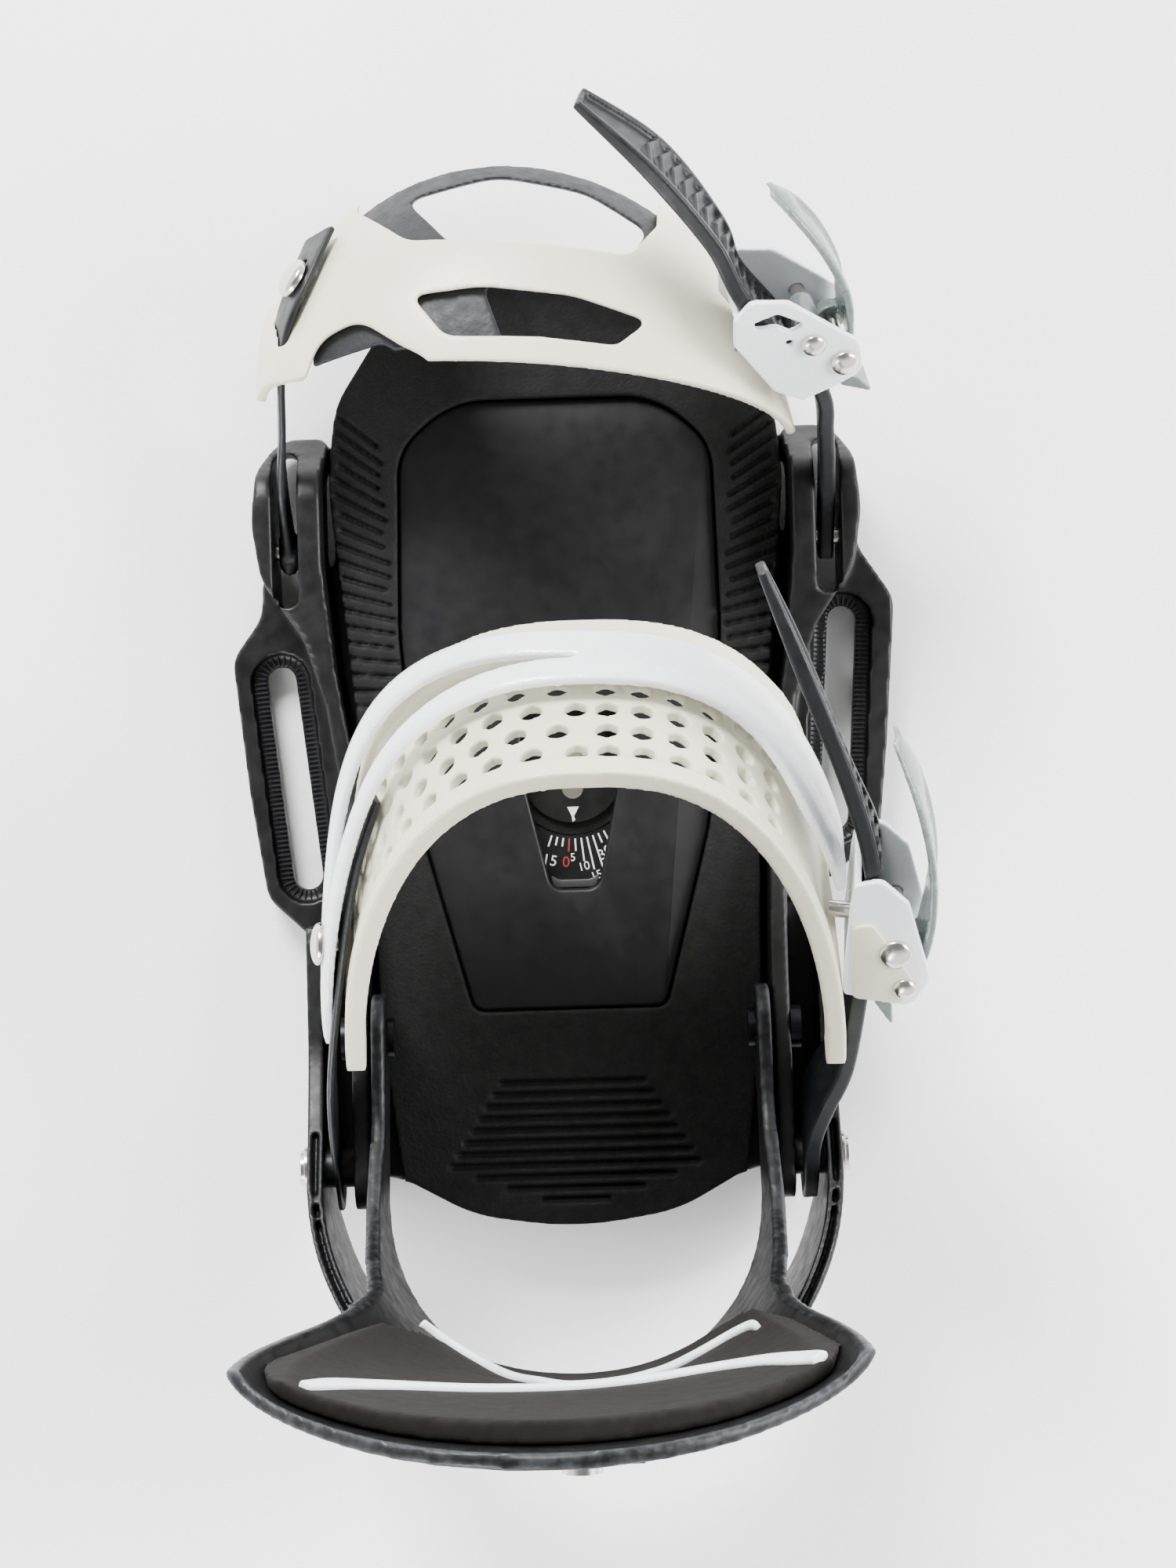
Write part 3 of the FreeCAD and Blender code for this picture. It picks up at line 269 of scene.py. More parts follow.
def mark_edges(mesh):
    """Writes how convex each point is into the edge attribute, for edge wear and painted
    highlights on convex edges.
    """
    count = len(mesh.vertices)
    place = np.empty(count * 3)
    mesh.vertices.foreach_get("co", place)
    place = place.reshape(-1, 3)
    normal = np.empty(count * 3)
    mesh.vertices.foreach_get("normal", normal)
    normal = normal.reshape(-1, 3)
    ends = np.empty(len(mesh.edges) * 2, dtype=np.int64)
    mesh.edges.foreach_get("vertices", ends)
    a, b = ends.reshape(-1, 2).T
    step = place[b] - place[a]
    length = np.maximum(np.linalg.norm(step, axis=1), 1e-7)
    total, weight = np.zeros(count), np.zeros(count)
    for here, way in ((a, 1.0), (b, -1.0)):
        bend = -way * np.einsum("ij,ij->i", step, normal[here]) / length
        np.add.at(total, here, bend)
        np.add.at(weight, here, 1.0)
    value = total / np.maximum(weight, 1.0)
    for _ in range(2):
        near, many = np.zeros(count), np.ones(count)
        np.add.at(near, a, value[b])
        np.add.at(near, b, value[a])
        np.add.at(many, a, 1.0)
        np.add.at(many, b, 1.0)
        value = (value + near) / many
    edge = mesh.attributes.new("edge", "FLOAT", "POINT")
    edge.data.foreach_set("value", np.clip(value * 4.0, 0.0, 1.0).astype(np.float32))


def piece_of(name, mesh, finish, body, slot, *nodes, crease=None):
    """A finished piece that rides on a body and stands for CAD nodes."""
    if not isinstance(mesh, bpy.types.Mesh):
        mesh = mesh_of(mesh)
    mesh.shade_smooth()
    if crease:
        mesh.set_sharp_from_angle(angle=math.radians(crease))
    mark_edges(mesh)
    mesh.materials.clear()
    mesh.materials.append(finish)
    piece = bpy.data.objects.new(name + "_skin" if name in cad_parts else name, mesh)
    scene.collection.objects.link(piece)
    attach(piece, body)
    if nodes:
        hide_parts(*nodes)
    return piece


# ---------------------------------------------------------------- things that repeat
def link_up(tree, kind, links, **settings):
    """Adds a node with its settings, and its inputs as values or links."""
    made = tree.nodes.new(kind)
    for key, value in settings.items():
        setattr(made, key, value)
    for key, value in links.items():
        if isinstance(value, bpy.types.NodeSocket):
            tree.links.new(value, made.inputs[key])
        else:
            made.inputs[key].default_value = value
    return made


def set_out_tree():
    """Sets copies of one template at every place, turned and sized by the place's attributes."""
    tree = bpy.data.node_groups.new("set_out", "GeometryNodeTree")
    for label, way, kind in (("Places", "INPUT", "NodeSocketGeometry"),
                             ("Template", "INPUT", "NodeSocketObject"),
                             ("Size", "INPUT", "NodeSocketFloat"),
                             ("Finish", "INPUT", "NodeSocketMaterial"),
                             ("Pieces", "OUTPUT", "NodeSocketGeometry")):
        tree.interface.new_socket(label, in_out=way, socket_type=kind)
    given = tree.nodes.new("NodeGroupInput").outputs
    template = link_up(tree, "GeometryNodeObjectInfo", {"Object": given["Template"]})
    turn = link_up(tree, "GeometryNodeInputNamedAttribute", {"Name": "turn"},
                   data_type="FLOAT_VECTOR")
    stretch = link_up(tree, "GeometryNodeInputNamedAttribute", {"Name": "stretch"},
                      data_type="FLOAT_VECTOR")
    rotation = link_up(tree, "FunctionNodeEulerToRotation", {"Euler": turn.outputs[0]})
    sized = link_up(tree, "ShaderNodeVectorMath", {0: stretch.outputs[0]}, operation="SCALE")
    tree.links.new(given["Size"], sized.inputs["Scale"])
    copies = link_up(tree, "GeometryNodeInstanceOnPoints",
                     {"Points": given["Places"], "Instance": template.outputs["Geometry"],
                      "Rotation": rotation.outputs[0], "Scale": sized.outputs[0]})
    real = link_up(tree, "GeometryNodeRealizeInstances", {0: copies.outputs[0]})
    coloured = link_up(tree, "GeometryNodeSetMaterial",
                       {"Geometry": real.outputs[0], "Material": given["Finish"]})
    tree.links.new(coloured.outputs[0], tree.nodes.new("NodeGroupOutput").inputs[0])
    return tree


set_out = set_out_tree()


def repeated(template_shape, places, finish=None, size=1.0):
    """Copies of a template, one for each (point, x direction, z direction, stretch)."""
    template = shown(mesh_of(template_shape))
    spots = bpy.data.meshes.new("places")
    spots.from_pydata([Vector(p[0]) * MM for p in places], [], [])
    turn = spots.attributes.new("turn", "FLOAT_VECTOR", "POINT")
    stretch = spots.attributes.new("stretch", "FLOAT_VECTOR", "POINT")
    for i, (_, along, up, scale) in enumerate(places):
        up = Vector(up).normalized()
        along = Vector(along)
        along = (along - up * along.dot(up)).normalized()
        basis = Matrix((along, up.cross(along), up)).transposed()
        turn.data[i].vector = Vector(basis.to_euler())
        stretch.data[i].vector = Vector(scale)
    holder = shown(spots)
    step = holder.modifiers.new("set_out", "NODES")
    step.node_group = set_out
    sockets = {s.name: s.identifier for s in set_out.interface.items_tree
               if s.item_type == "SOCKET" and s.in_out == "INPUT"}
    step[sockets["Template"]] = template
    step[sockets["Size"]] = size
    if finish:
        step[sockets["Finish"]] = finish
    mesh = settled(holder)
    bpy.data.objects.remove(template)
    return mesh


def shape_from(mesh):
    """A mesh back as points and faces in millimetres."""
    return [v.co / MM for v in mesh.vertices], [list(p.vertices) for p in mesh.polygons]


# ---------------------------------------------------------------- materials
# The black plastics' and foams' index of refraction is set at 1.32 to 1.40, below the
# 1.5 or so of the real materials, to keep the bright studio's reflections off them.
def colour(hex_code):
    """A linear colour from an sRGB hex value."""
    parts = [int(hex_code[i:i + 2], 16) / 255 for i in (1, 3, 5)]
    return [c / 12.92 if c <= 0.04045 else ((c + 0.055) / 1.055) ** 2.4 for c in parts] + [1.0]


def finish_of(name, base, second, rough, rough_swing=0.08, mottle=9.0, grain=0.3, depth=0.02,
              grain_kind="NOISE", wear_and_highlight="#000000", wear_and_highlight_share=0.0, metallic=0.0, ior=1.5,
              coat=0.0, sheen=0.0, subsurface=0.0, streak=None):
    """A procedural finish. mottle, grain and depth are real sizes in millimetres."""
    made = bpy.data.materials.new(name)
    made.use_nodes = True
    tree = made.node_tree
    shader = tree.nodes["Principled BSDF"]
    where = link_up(tree, "ShaderNodeTexCoord", {}).outputs["Object"]
    cloud = link_up(tree, "ShaderNodeTexNoise", {"Vector": where, "Scale": 1000 / mottle,
                                                 "Detail": 4.0, "Roughness": 0.6})
    # a Mix node's colour sockets are 6, 7 and, for its result, 2
    shade = link_up(tree, "ShaderNodeMix", {0: cloud.outputs["Fac"], 6: colour(base),
                                            7: colour(second)}, data_type="RGBA")
    top = shade.outputs[2]
    # Convex edges, from the edge attribute broken up by noise, are mixed toward the given edge
    # colour: partly edge wear and partly a painted highlight.
    if wear_and_highlight_share:
        edge = link_up(tree, "ShaderNodeAttribute", {}, attribute_name="edge")
        speckle = link_up(tree, "ShaderNodeTexNoise", {"Vector": where, "Scale": 1000 / 2.5,
                                                     "Detail": 5.0})
        highlight_and_wear = link_up(tree, "ShaderNodeMath", {0: edge.outputs["Fac"],
                                                1: speckle.outputs["Fac"]}, operation="MULTIPLY")
        share = link_up(tree, "ShaderNodeMapRange", {0: highlight_and_wear.outputs[0], 1: 0.12, 2: 0.55,
                                                     3: 0.0, 4: wear_and_highlight_share})
        top = link_up(tree, "ShaderNodeMix", {0: share.outputs[0], 6: top, 7: colour(wear_and_highlight)},
                      data_type="RGBA").outputs[2]
    tree.links.new(top, shader.inputs["Base Color"])
    haze = link_up(tree, "ShaderNodeTexNoise", {"Vector": where, "Scale": 1000 / 4.0,
                                                "Detail": 3.0})
    gloss = link_up(tree, "ShaderNodeMapRange", {0: haze.outputs["Fac"], 1: 0.3, 2: 0.7,
                                                 3: rough - rough_swing, 4: rough + rough_swing})
    tree.links.new(gloss.outputs[0], shader.inputs["Roughness"])
    if streak:
        stretch = link_up(tree, "ShaderNodeMapping", {"Vector": where, "Scale": streak})
        where = stretch.outputs[0]
    if grain_kind == "NOISE":
        tooth = link_up(tree, "ShaderNodeTexNoise", {"Vector": where, "Scale": 1000 / grain,
                                                     "Detail": 3.0, "Roughness": 0.55})
        height = tooth.outputs["Fac"]
    else:
        tooth = link_up(tree, "ShaderNodeTexVoronoi", {"Vector": where, "Scale": 1000 / grain},
                        feature="SMOOTH_F1")
        height = tooth.outputs["Distance"]
    bump = link_up(tree, "ShaderNodeBump", {"Height": height, "Distance": depth * MM,
                                            "Strength": 1.0})
    tree.links.new(bump.outputs[0], shader.inputs["Normal"])
    shader.inputs["Metallic"].default_value = metallic
    if not metallic:
        shader.inputs["IOR"].default_value = ior
    shader.inputs["Coat Weight"].default_value = coat
    shader.inputs["Coat Roughness"].default_value = 0.12
    shader.inputs["Sheen Weight"].default_value = sheen
    shader.inputs["Subsurface Weight"].default_value = subsurface
    shader.inputs["Subsurface Radius"].default_value = (0.004, 0.003, 0.002)
    return made


# In every finish below, the edge colour given to it is painted on its convex edges, partly as wear
# and partly as a painted highlight.
# Glass-filled nylon, moulded with a fine spark-eroded texture: a satin black whose convex edges
# are painted a greyer black, partly scuffing and partly a painted highlight.
nylon_black = finish_of("glass_filled_nylon_black", "#080809", "#0c0c0d", 0.44, grain=0.35,
                        depth=0.018, wear_and_highlight="#2c2d31", wear_and_highlight_share=0.45, ior=1.36)
# The same nylon on the highback, with a pale painted highlight speckled along its convex rims and
# crown, together with some rub wear.
nylon_shell = finish_of("highback_nylon_painted_highlight", "#080809", "#0d0d0e", 0.42, grain=0.4,
                        depth=0.02, wear_and_highlight="#70757c", wear_and_highlight_share=0.4, ior=1.33)
# EVA foam, embossed with a pebble grain: deep matt black with tiny grey lights.
eva_pebble = finish_of("eva_foam_pebbled", "#050505", "#0e0e0e", 0.74, rough_swing=0.1,
                       mottle=1.1, grain=0.75, depth=0.12, grain_kind="CELLS",
                       wear_and_highlight="#1d1c1b", wear_and_highlight_share=0.5, ior=1.33)
# Thin hard film over the middle of the footbed, smooth and slightly blue.
panel_film = finish_of("polyurethane_film_smooth", "#070709", "#09090c", 0.46,
                       rough_swing=0.05, mottle=14.0, grain=0.5, depth=0.003, ior=1.4)
# Foam laminated with brushed fabric: brown-black, its soft sheen painted in as lighter brown on
# its convex edges, which also stands for wear.
calf_fabric = finish_of("calf_foam_brushed", "#0c0908", "#14100e", 0.88, mottle=7.0,
                        grain=0.45, depth=0.05, wear_and_highlight="#1d1817", wear_and_highlight_share=0.4,
                        ior=1.32)
# Soft ivory TPU, moulded smooth: warm, slightly waxy, light passing a little way in.
tpu_ivory = finish_of("tpu_moulded_ivory", "#cfccb4", "#dad7c2", 0.38, rough_swing=0.06,
                      mottle=22.0, grain=0.6, depth=0.006, subsurface=0.12, ior=1.5)
# White nylon with a polished mould face.
nylon_white = finish_of("nylon_moulded_white", "#e6e9ee", "#eceff3", 0.27, rough_swing=0.05,
                        mottle=18.0, grain=0.5, depth=0.003, coat=0.25, ior=1.53)
# White acetal of the buckle bodies, glossy and cool.
acetal_white = finish_of("acetal_moulded_white", "#e9ebf0", "#eff1f5", 0.24,
                         rough_swing=0.05, mottle=15.0, grain=0.5, depth=0.003, coat=0.3,
                         ior=1.48)
# Painted die-cast levers: grey-green satin paint with a faint orange peel; its convex edges are
# painted pale, partly wear and partly a painted highlight.
lever_paint = finish_of("painted_die_casting_grey", "#55615e", "#636f6c", 0.28,
                        rough_swing=0.06, mottle=25.0, grain=1.6, depth=0.006,
                        wear_and_highlight="#c9d2d0", wear_and_highlight_share=0.6, coat=0.35, ior=1.5)
# Tough blue-grey TPU of the ladders and connectors, with a fine leathery grain.
strap_tpu = finish_of("tpu_strap_blue_black", "#0b0c0e", "#121417", 0.44, mottle=6.0,
                      grain=0.4, depth=0.02, wear_and_highlight="#23272c", wear_and_highlight_share=0.7, ior=1.38)
# The toe liner's TPU has a coarser leather grain.
liner_tpu = finish_of("tpu_liner_leather_grain", "#0e0f12", "#191b1f", 0.55, mottle=1.6,
                      grain=0.9, depth=0.07, grain_kind="CELLS", wear_and_highlight="#3a3e45",
                      wear_and_highlight_share=0.5, ior=1.38)
# Stainless steel, cold-headed and tumbled bright.
steel = finish_of("stainless_steel_tumbled", "#c9c6c0", "#dedbd6", 0.2, rough_swing=0.07,
                  mottle=3.0, grain=0.25, depth=0.004, metallic=1.0)
# Steel screws with a black oxide skin.
steel_black = finish_of("black_oxide_steel", "#232326", "#2c2c30", 0.34, rough_swing=0.06,
                        mottle=3.0, grain=0.3, depth=0.004, wear_and_highlight="#8a8a8c", wear_and_highlight_share=0.5,
                        metallic=1.0)
# White rubber strip set into the calf pad.
rubber_white = finish_of("rubber_strip_white", "#e9edf2", "#f3f6f9", 0.42, mottle=8.0,
                         grain=0.4, depth=0.01, ior=1.52)
# Closed-cell foam gasket under the base.
gasket_foam = finish_of("closed_cell_gasket_foam", "#0b0b0c", "#111112", 0.8, grain=0.3,
                        depth=0.05, grain_kind="CELLS", ior=1.45)
# Ink printed on the scale.
ink_white = finish_of("pad_printed_ink_white", "#d9dadc", "#f0f1f2", 0.5, mottle=0.6,
                      grain=0.2, depth=0.003)
ink_red = finish_of("pad_printed_ink_red", "#8e2024", "#a52a2c", 0.5, mottle=0.6,
                    grain=0.2, depth=0.003)
# Grey acetal lip of the sight window.
acetal_grey = finish_of("acetal_lip_grey", "#323133", "#3c3b3d", 0.4, grain=0.4, depth=0.006)

# ---------------------------------------------------------------- base
left_slot = (-69.6, 4.0, 6.2)          # x, y and lean in degrees
right_slot = (71.2, 15.5, -3.8)
slot_half_wide, slot_half_long = 3.7, 29.0
ear_top, board_top, panel_top, cushion_top = 10.5, 14.0, 17.5, 20.0
ledge_top = 7.5


def around_slot(slot, u, v):
    """A point u across and v along a leaning slot."""
    x, y, lean = slot
    c, s = math.cos(math.radians(lean)), math.sin(math.radians(lean))
    return Vector((x + u * c - v * s, y + u * s + v * c, 0.0))


def slot_ribs():
    """Fine ribs across the ledges that the bolt washers grip."""
    tooth = lofted([[Vector((a, -0.3, 0)), Vector((a, 0.3, 0)), Vector((a, 0.12, 0.55)),
                     Vector((a, -0.12, 0.55))] for a in (-0.5, 0.5)])
    places = []
    straight = slot_half_long - slot_half_wide
    for slot in (left_slot, right_slot):
        origin = around_slot(slot, 0, 0)
        for side in (-1, 1):
            for i in range(43):
                v = -straight + 2 * straight * i / 42
                at = around_slot(slot, side * 5.6, v)
                across = around_slot(slot, 1, v) - around_slot(slot, 0, v)
                places.append((at + Vector((0, 0, ledge_top)), across, (0, 0, 1), (3.4, 1, 1)))
            for i in range(1, 12):
                t = math.pi * i / 12
                out = (around_slot(slot, math.cos(t), side * math.sin(t)) - origin)
                at = around_slot(slot, 5.5 * math.cos(t), side * (straight + 5.4 * math.sin(t)))
                places.append((at + Vector((0, 0, ledge_top)), out, (0, 0, 1), (3.0, 1, 1)))
    return repeated(tooth, places, nylon_black)


def base_sides():
    """Walls, toe towers and slotted ears, with the floor's outer strips."""
    whole = cad_form("baseplate")
    middle = box_shape((-44.0, -130.0, -5.0), (44.0, 130.0, 60.0))
    return moulded([machined(whole, cuts=[middle])], grain=0.75, passes=3)


piece_of("base_sides", base_sides(), nylon_black, "base", "black_nylon")
floor = machined(cad_form("baseplate"),
                 keeps=[box_shape((-44.2, -130.0, -5.0), (44.2, 130.0, 60.0))])
piece_of("base_floor", floor, nylon_black, "base", "black_nylon", "baseplate", crease=30)
piece_of("ledge_ribs", slot_ribs(), nylon_black, "base", "black_nylon", crease=30)


def hoop_line(turn, inset):
    """The heel hoop from above: turn runs 0 to 1 from the left foot round to the right."""
    half, reach = 66.5 - inset, 62.0 - inset
    straight = 61.0
    bend = math.pi * math.sqrt((half * half + reach * reach) / 2)
    s = turn * (2 * straight + bend)
    if s < straight:
        return Vector((-half, -34.0 - s, 0))
    if s > straight + bend:
        return Vector((half, -34.0 - (2 * straight + bend - s), 0))
    t = (s - straight) / bend * math.pi
    return Vector((-half * math.cos(t), -95.0 - reach * math.sin(t), 0))


def hoop_rise(y):
    """Height of the hoop's upper edge."""
    marks = [(-170.0, 76.0), (-140.0, 75.6), (-128.0, 69.5), (-112.0, 59.3), (-98.0, 49.4),
             (-84.0, 41.0), (-70.0, 33.2), (-58.0, 29.9), (-38.0, 27.8), (-30.0, 26.0)]
    return float(np.interp(y, [m[0] for m in marks], [m[1] for m in marks]))


def heel_hoop():
    turns = spread(0.0, 1.0, 121)

    def wall(u, v, lift):
        return hoop_line(u, lift) + Vector((0, 0, v))

    band = sheet(wall, turns, spread(0.0, 90.0, 31), 0.0, 4.0)
    rise = [(-30.0, ear_top, 0), (-30.0, 26.0, 0), (-38.0, 28.0, 6), (-66.0, 31.0, 30),
            (-84.0, 40.0, 30), (-112.0, 60.0, 30), (-140.0, 76.0, 20), (-170.0, 76.0, 0),
            (-170.0, 38.0, 0), (-140.0, 30.0, 20), (-112.0, 8.0, 12), (-37.5, 8.0, 0),
            (-37.5, ear_top, 0)]

    def groove(u, v, lift):
        at = hoop_line(u, lift)
        return at + Vector((0, 0, hoop_rise(at.y) - 3.5 + v))

    channel = sheet(groove, spread(0.16, 0.84, 81), spread(0.0, 12.0, 5), 1.35, 2.75)
    holes = [across_rod(ankle_pivot, side * 58.0, side * 80.0, bolt_radius)
             for side in (-1, 1)]
    ears = [from_above([(-82.0, -34.0, 0), (-60.0, -34.0, 0), (-60.0, -10.0, 0),
                        (-82.0, -10.0, 0)], 0.0, ear_top)]
    return moulded([machined(band, cuts=[channel, *holes, *ears], keeps=[from_side(rise)])],
                   grain=0.62, passes=3)


piece_of("heel_hoop", heel_hoop(), nylon_black, "base", "black_nylon", "heel_hoop")

# ---------------------------------------------------------------- footbed
cushion_outline = [(-20.0, 131.0, 20), (-43.0, 118.0, 20), (-56.0, 98.0, 25),
                   (-58.0, 78.0, 60), (-53.5, 30.0, 60), (-49.5, -15.0, 80),
                   (-48.5, -62.0, 60), (-44.0, -99.0, 3), (-26.0, -109.0, 40),
                   (0.0, -113.0, 90), (26.0, -109.0, 40), (44.0, -99.0, 3),
                   (48.5, -62.0, 60), (49.5, -15.0, 80), (53.5, 30.0, 60), (58.0, 78.0, 60),
                   (56.0, 98.0, 25), (43.0, 118.0, 20), (20.0, 131.0, 20)]


def panel_outline(grow=0.0):
    return [(-26.0, 99.0 + grow, 25), (-40.0 - grow, 87.0, 16), (-41.0 - grow, 40.0, 60),
            (-37.0 - grow, -10.0, 60), (-24.5 - grow, -57.0 - grow, 4),
            (24.5 + grow, -57.0 - grow, 4), (37.0 + grow, -10.0, 60),
            (41.0 + grow, 40.0, 60), (40.0 + grow, 87.0, 16), (26.0, 99.0 + grow, 25)]


window_outline = [(-10.5, 22.0, 5), (-11.0, 4.0, 12), (-4.0, -26.5, 4), (8.0, -26.5, 4),
                  (14.5, 4.0, 12), (14.5, 22.0, 5)]


def footbed_grooves():
    """Cutters for the heel's trapezoid of ribs and the fan of slanted ribs at both sides."""
    knife = lofted([[Vector((u, -1.1, 3.0)), Vector((u, 1.1, 3.0)), Vector((u, 0.6, 0.0)),
                     Vector((u, -0.6, 0.0))] for u in (-0.5, 0.5)])
    places = []
    for i in range(11):
        half = 19.0 + 1.9 * i if i < 8 else (26.0, 18.0, 9.0)[i - 8]
        places.append(((0, -75.5 - 3.0 * i, cushion_top - 1.5), (1, 0, 0), (0, 0, 1),
                       (2 * half, 1, 1)))
    for side in (-1, 1):
        for i in range(19):
            tilt = math.radians(38.0 - 2.1 * i)
            y = 92.0 - 3.9 * i
            x = side * float(np.interp(y, [20, 60, 92], [47.2, 50.0, 50.4]))
            long = 14.5 + 2.0 * math.sin(i * 1.7)
            places.append(((x, y, cushion_top - 1.5), (-side * math.cos(tilt), -math.sin(tilt), 0),
                           (0, 0, 1), (long, 0.9, 1)))
    return shape_from(repeated(knife, places))


def footbed_cushion():
    """One moulded foam piece, crowned at its rim and flat where the foot stands."""
    foam = from_above(cushion_outline, board_top + 0.05, cushion_top)
    hole = from_above(panel_outline(0.3), 0.0, 60.0)
    return moulded([machined(foam, cuts=[hole, footbed_grooves()])], grain=0.6, passes=1)


cushion = piece_of("footbed_cushion", footbed_cushion(), eva_pebble, "base", "eva_foam",
                   "footbed_cushion")


def footbed_board():
    """The stiff board and the smooth panel that stands up through the cushion."""
    inset = [(x * 0.975, y * 0.985, r) for x, y, r in cushion_outline]
    window = from_above(window_outline, 0.0, 60.0)
    board = bevelled(machined(from_above(inset, 8.0, board_top), cuts=[window]), 0.6)
    panel = bevelled(machined(from_above(panel_outline(), board_top, panel_top),
                              cuts=[window]), 0.9)
    return shape_from(board), shape_from(panel)


board, panel = footbed_board()
piece_of("footbed_board", board, nylon_black, "base", "black_nylon", crease=30)
piece_of("footbed_panel", panel, panel_film, "base", "panel_plastic", "footbed_board",
         crease=30)

# ---------------------------------------------------------------- sight window and dial
dial = Vector((2.0, 3.5, 0.0))


def scale_marks():
    """Lines of the angle scale, fanned round the dial's centre."""
    bar = box_shape((-0.5, -0.5, 0.0), (0.5, 0.5, 0.12))
    white, red = [], []
    lengths = {-15: 3.0, -10: 2.2, -5: 2.2, 0: 3.4, 5: 3.2, 10: 6.0, 15: 8.6, 20: 11.0,
               25: 2.6, 30: 3.2}
    for angle, long in lengths.items():
        t = math.radians(-94.0 + angle * 1.02)
        out = Vector((math.cos(t), math.sin(t), 0))
        at = dial + out * (17.2 + long / 2) + Vector((0, 0, 7.75))
        (red if angle == 0 else white).append((at, out, (0, 0, 1), (long, 0.42, 1)))
    white += [(dial + Vector((side * 4.6, y, 8.0)), (1, 0, 0), (0, 0, 1), (3.4, 0.9, 1))
              for side in (-1, 1) for y in (4.7, -2.7)]
    return repeated(bar, white, ink_white), repeated(bar, red, ink_red)


white_bars, red_bars = scale_marks()
piece_of("scale_lines", white_bars, ink_white, "base", "white_trim", crease=30)
piece_of("scale_zero_line", red_bars, ink_red, "base", "white_trim", crease=30)


def number(name, text, x, y, size, turn, finish):
    """One printed number of the scale."""
    letters = bpy.data.curves.new(name, "FONT")
    letters.body, letters.size = text, size * MM
    letters.align_x, letters.align_y = "CENTER", "CENTER"
    letters.extrude = 0.06 * MM
    holder = bpy.data.objects.new("text", letters)
    scene.collection.objects.link(holder)
    mesh = settled(holder)
    place = Matrix.Translation(Vector((x, y, 7.8)) * MM)
    mesh.transform(place @ Matrix.Rotation(math.radians(turn), 4, "Z"))
    piece_of(name, mesh, finish, "base", "white_trim", crease=30)


for name, text, x, y, size, turn, finish in (
        ("scale_15_inner", "15", -4.4, -19.2, 3.9, -12, ink_white),
        ("scale_0", "0", -0.2, -19.8, 3.9, -3, ink_red),
        ("scale_5", "5", 1.6, -18.6, 2.9, 4, ink_white),
        ("scale_10", "10", 4.4, -21.0, 3.1, 12, ink_white),
        ("scale_15_outer", "15", 7.6, -23.4, 3.1, 20, ink_white),
        ("scale_20", "20", 10.2, -25.6, 3.1, 30, ink_white),
        ("scale_30", "30", 10.0, -17.6, 3.9, 32, ink_white)):
    number(name, text, x, y, size, turn, finish)

arrow = [(dial + Vector(p)) for p in ((-1.5, -9.0, 0), (1.5, -9.0, 0), (0.2, -11.4, 0),
                                      (0.5, -12.4, 0), (-0.2, -12.9, 0), (-0.4, -11.4, 0))]
arrow_shape = lofted([[p + Vector((0, 0, z)) for p in arrow] for z in (7.6, 7.75)])
piece_of("dial_arrow", arrow_shape, ink_white, "dial", "white_trim", crease=30)
lip = from_above([(-4.4, -22.8, 3), (-3.6, -26.3, 4), (7.6, -26.3, 4), (8.4, -22.8, 3),
                  (6.0, -24.2, 3), (-2.0, -24.2, 3)], 8.6, 10.2)
piece_of("window_lip", bevelled(mesh_of(lip), 0.4), acetal_grey, "base", "black_nylon",
         crease=30)

# ---------------------------------------------------------------- highback
fold_levels = [(18.0, 49.8, -100.0, 0.0, 47.0), (34.0, 49.8, -100.0, 0.0, 46.8),
               (48.0, 49.8, -100.0, 0.0, 46.6), (70.0, 51.2, -100.0, 0.0, 46.3),
               (100.0, 52.6, -100.0, 0.0, 45.6), (118.0, 53.4, -103.0, -0.8, 41.0),
               (140.0, 56.0, -108.0, -2.0, 33.0), (165.0, 62.0, -112.0, -3.2, 25.5),
               (190.0, 66.0, -114.5, -4.4, 20.5), (215.0, 66.5, -115.0, -5.0, 19.0),
               (250.0, 64.5, -115.0, -5.0, 17.5)]
fine_levels = smooth_run(fold_levels, 10)
shell_thick, pad_back, pad_face = 3.5, 3.8, 8.8      # depths from the outer face


def calf_section(z):
    heights = [level[0] for level in fine_levels]
    return [float(np.interp(z, heights, [level[k] for level in fine_levels]))
            for k in range(1, 5)]


def calf_wall(turn, z, depth):
    """A point of the highback: turn 0 to 1 round it, height, and depth from its outer face."""
    half, centre, middle, reach = calf_section(z)
    a, b = half - depth, reach - depth
    if turn < 0.15:
        return Vector((middle - a, -46.0 + (centre + 46.0) * turn / 0.15, z))
    if turn > 0.85:
        return Vector((middle + a, -46.0 + (centre + 46.0) * (1 - turn) / 0.15, z))
    t = math.pi * (turn - 0.15) / 0.7
    return Vector((middle - a * math.cos(t), centre - b * math.sin(t), z))


side_view = [(-51.0, 24.0, 8), (-51.0, 45.0, 9), (-82.0, 51.0, 24), (-105.0, 70.0, 24),
             (-116.0, 100.0, 30), (-117.0, 150.0, 30), (-116.0, 252.0, 0),
             (-170.0, 252.0, 0), (-170.0, 84.0, 0), (-147.0, 86.0, 4), (-128.0, 66.0, 30),
             (-98.0, 38.0, 30), (-72.0, 23.0, 14)]
crown = [(-90.0, 0.0, 0), (-90.0, 196.0, 0), (-70.0, 212.0, 20), (-36.0, 237.0, 60),
         (-5.0, 245.0, 90), (26.0, 237.0, 60), (62.0, 208.0, 20), (90.0, 186.0, 0),
         (90.0, 0.0, 0)]
calf_turns = spread(0.0, 1.0, 141)
blank = sheet(calf_wall, calf_turns, spread(19.0, 249.0, 70), 0.0, shell_thick)
bolt_holes = [across_rod(fold_pivot, side * 40.0, side * 60.0, bolt_radius) for side in (-1, 1)]
shell = moulded([machined(blank, cuts=bolt_holes, keeps=[from_side(side_view),
                                                         from_front(crown)])],
                grain=0.85, passes=3)
piece_of("highback_shell", shell, nylon_shell, "highback", "black_nylon", "highback_shell")

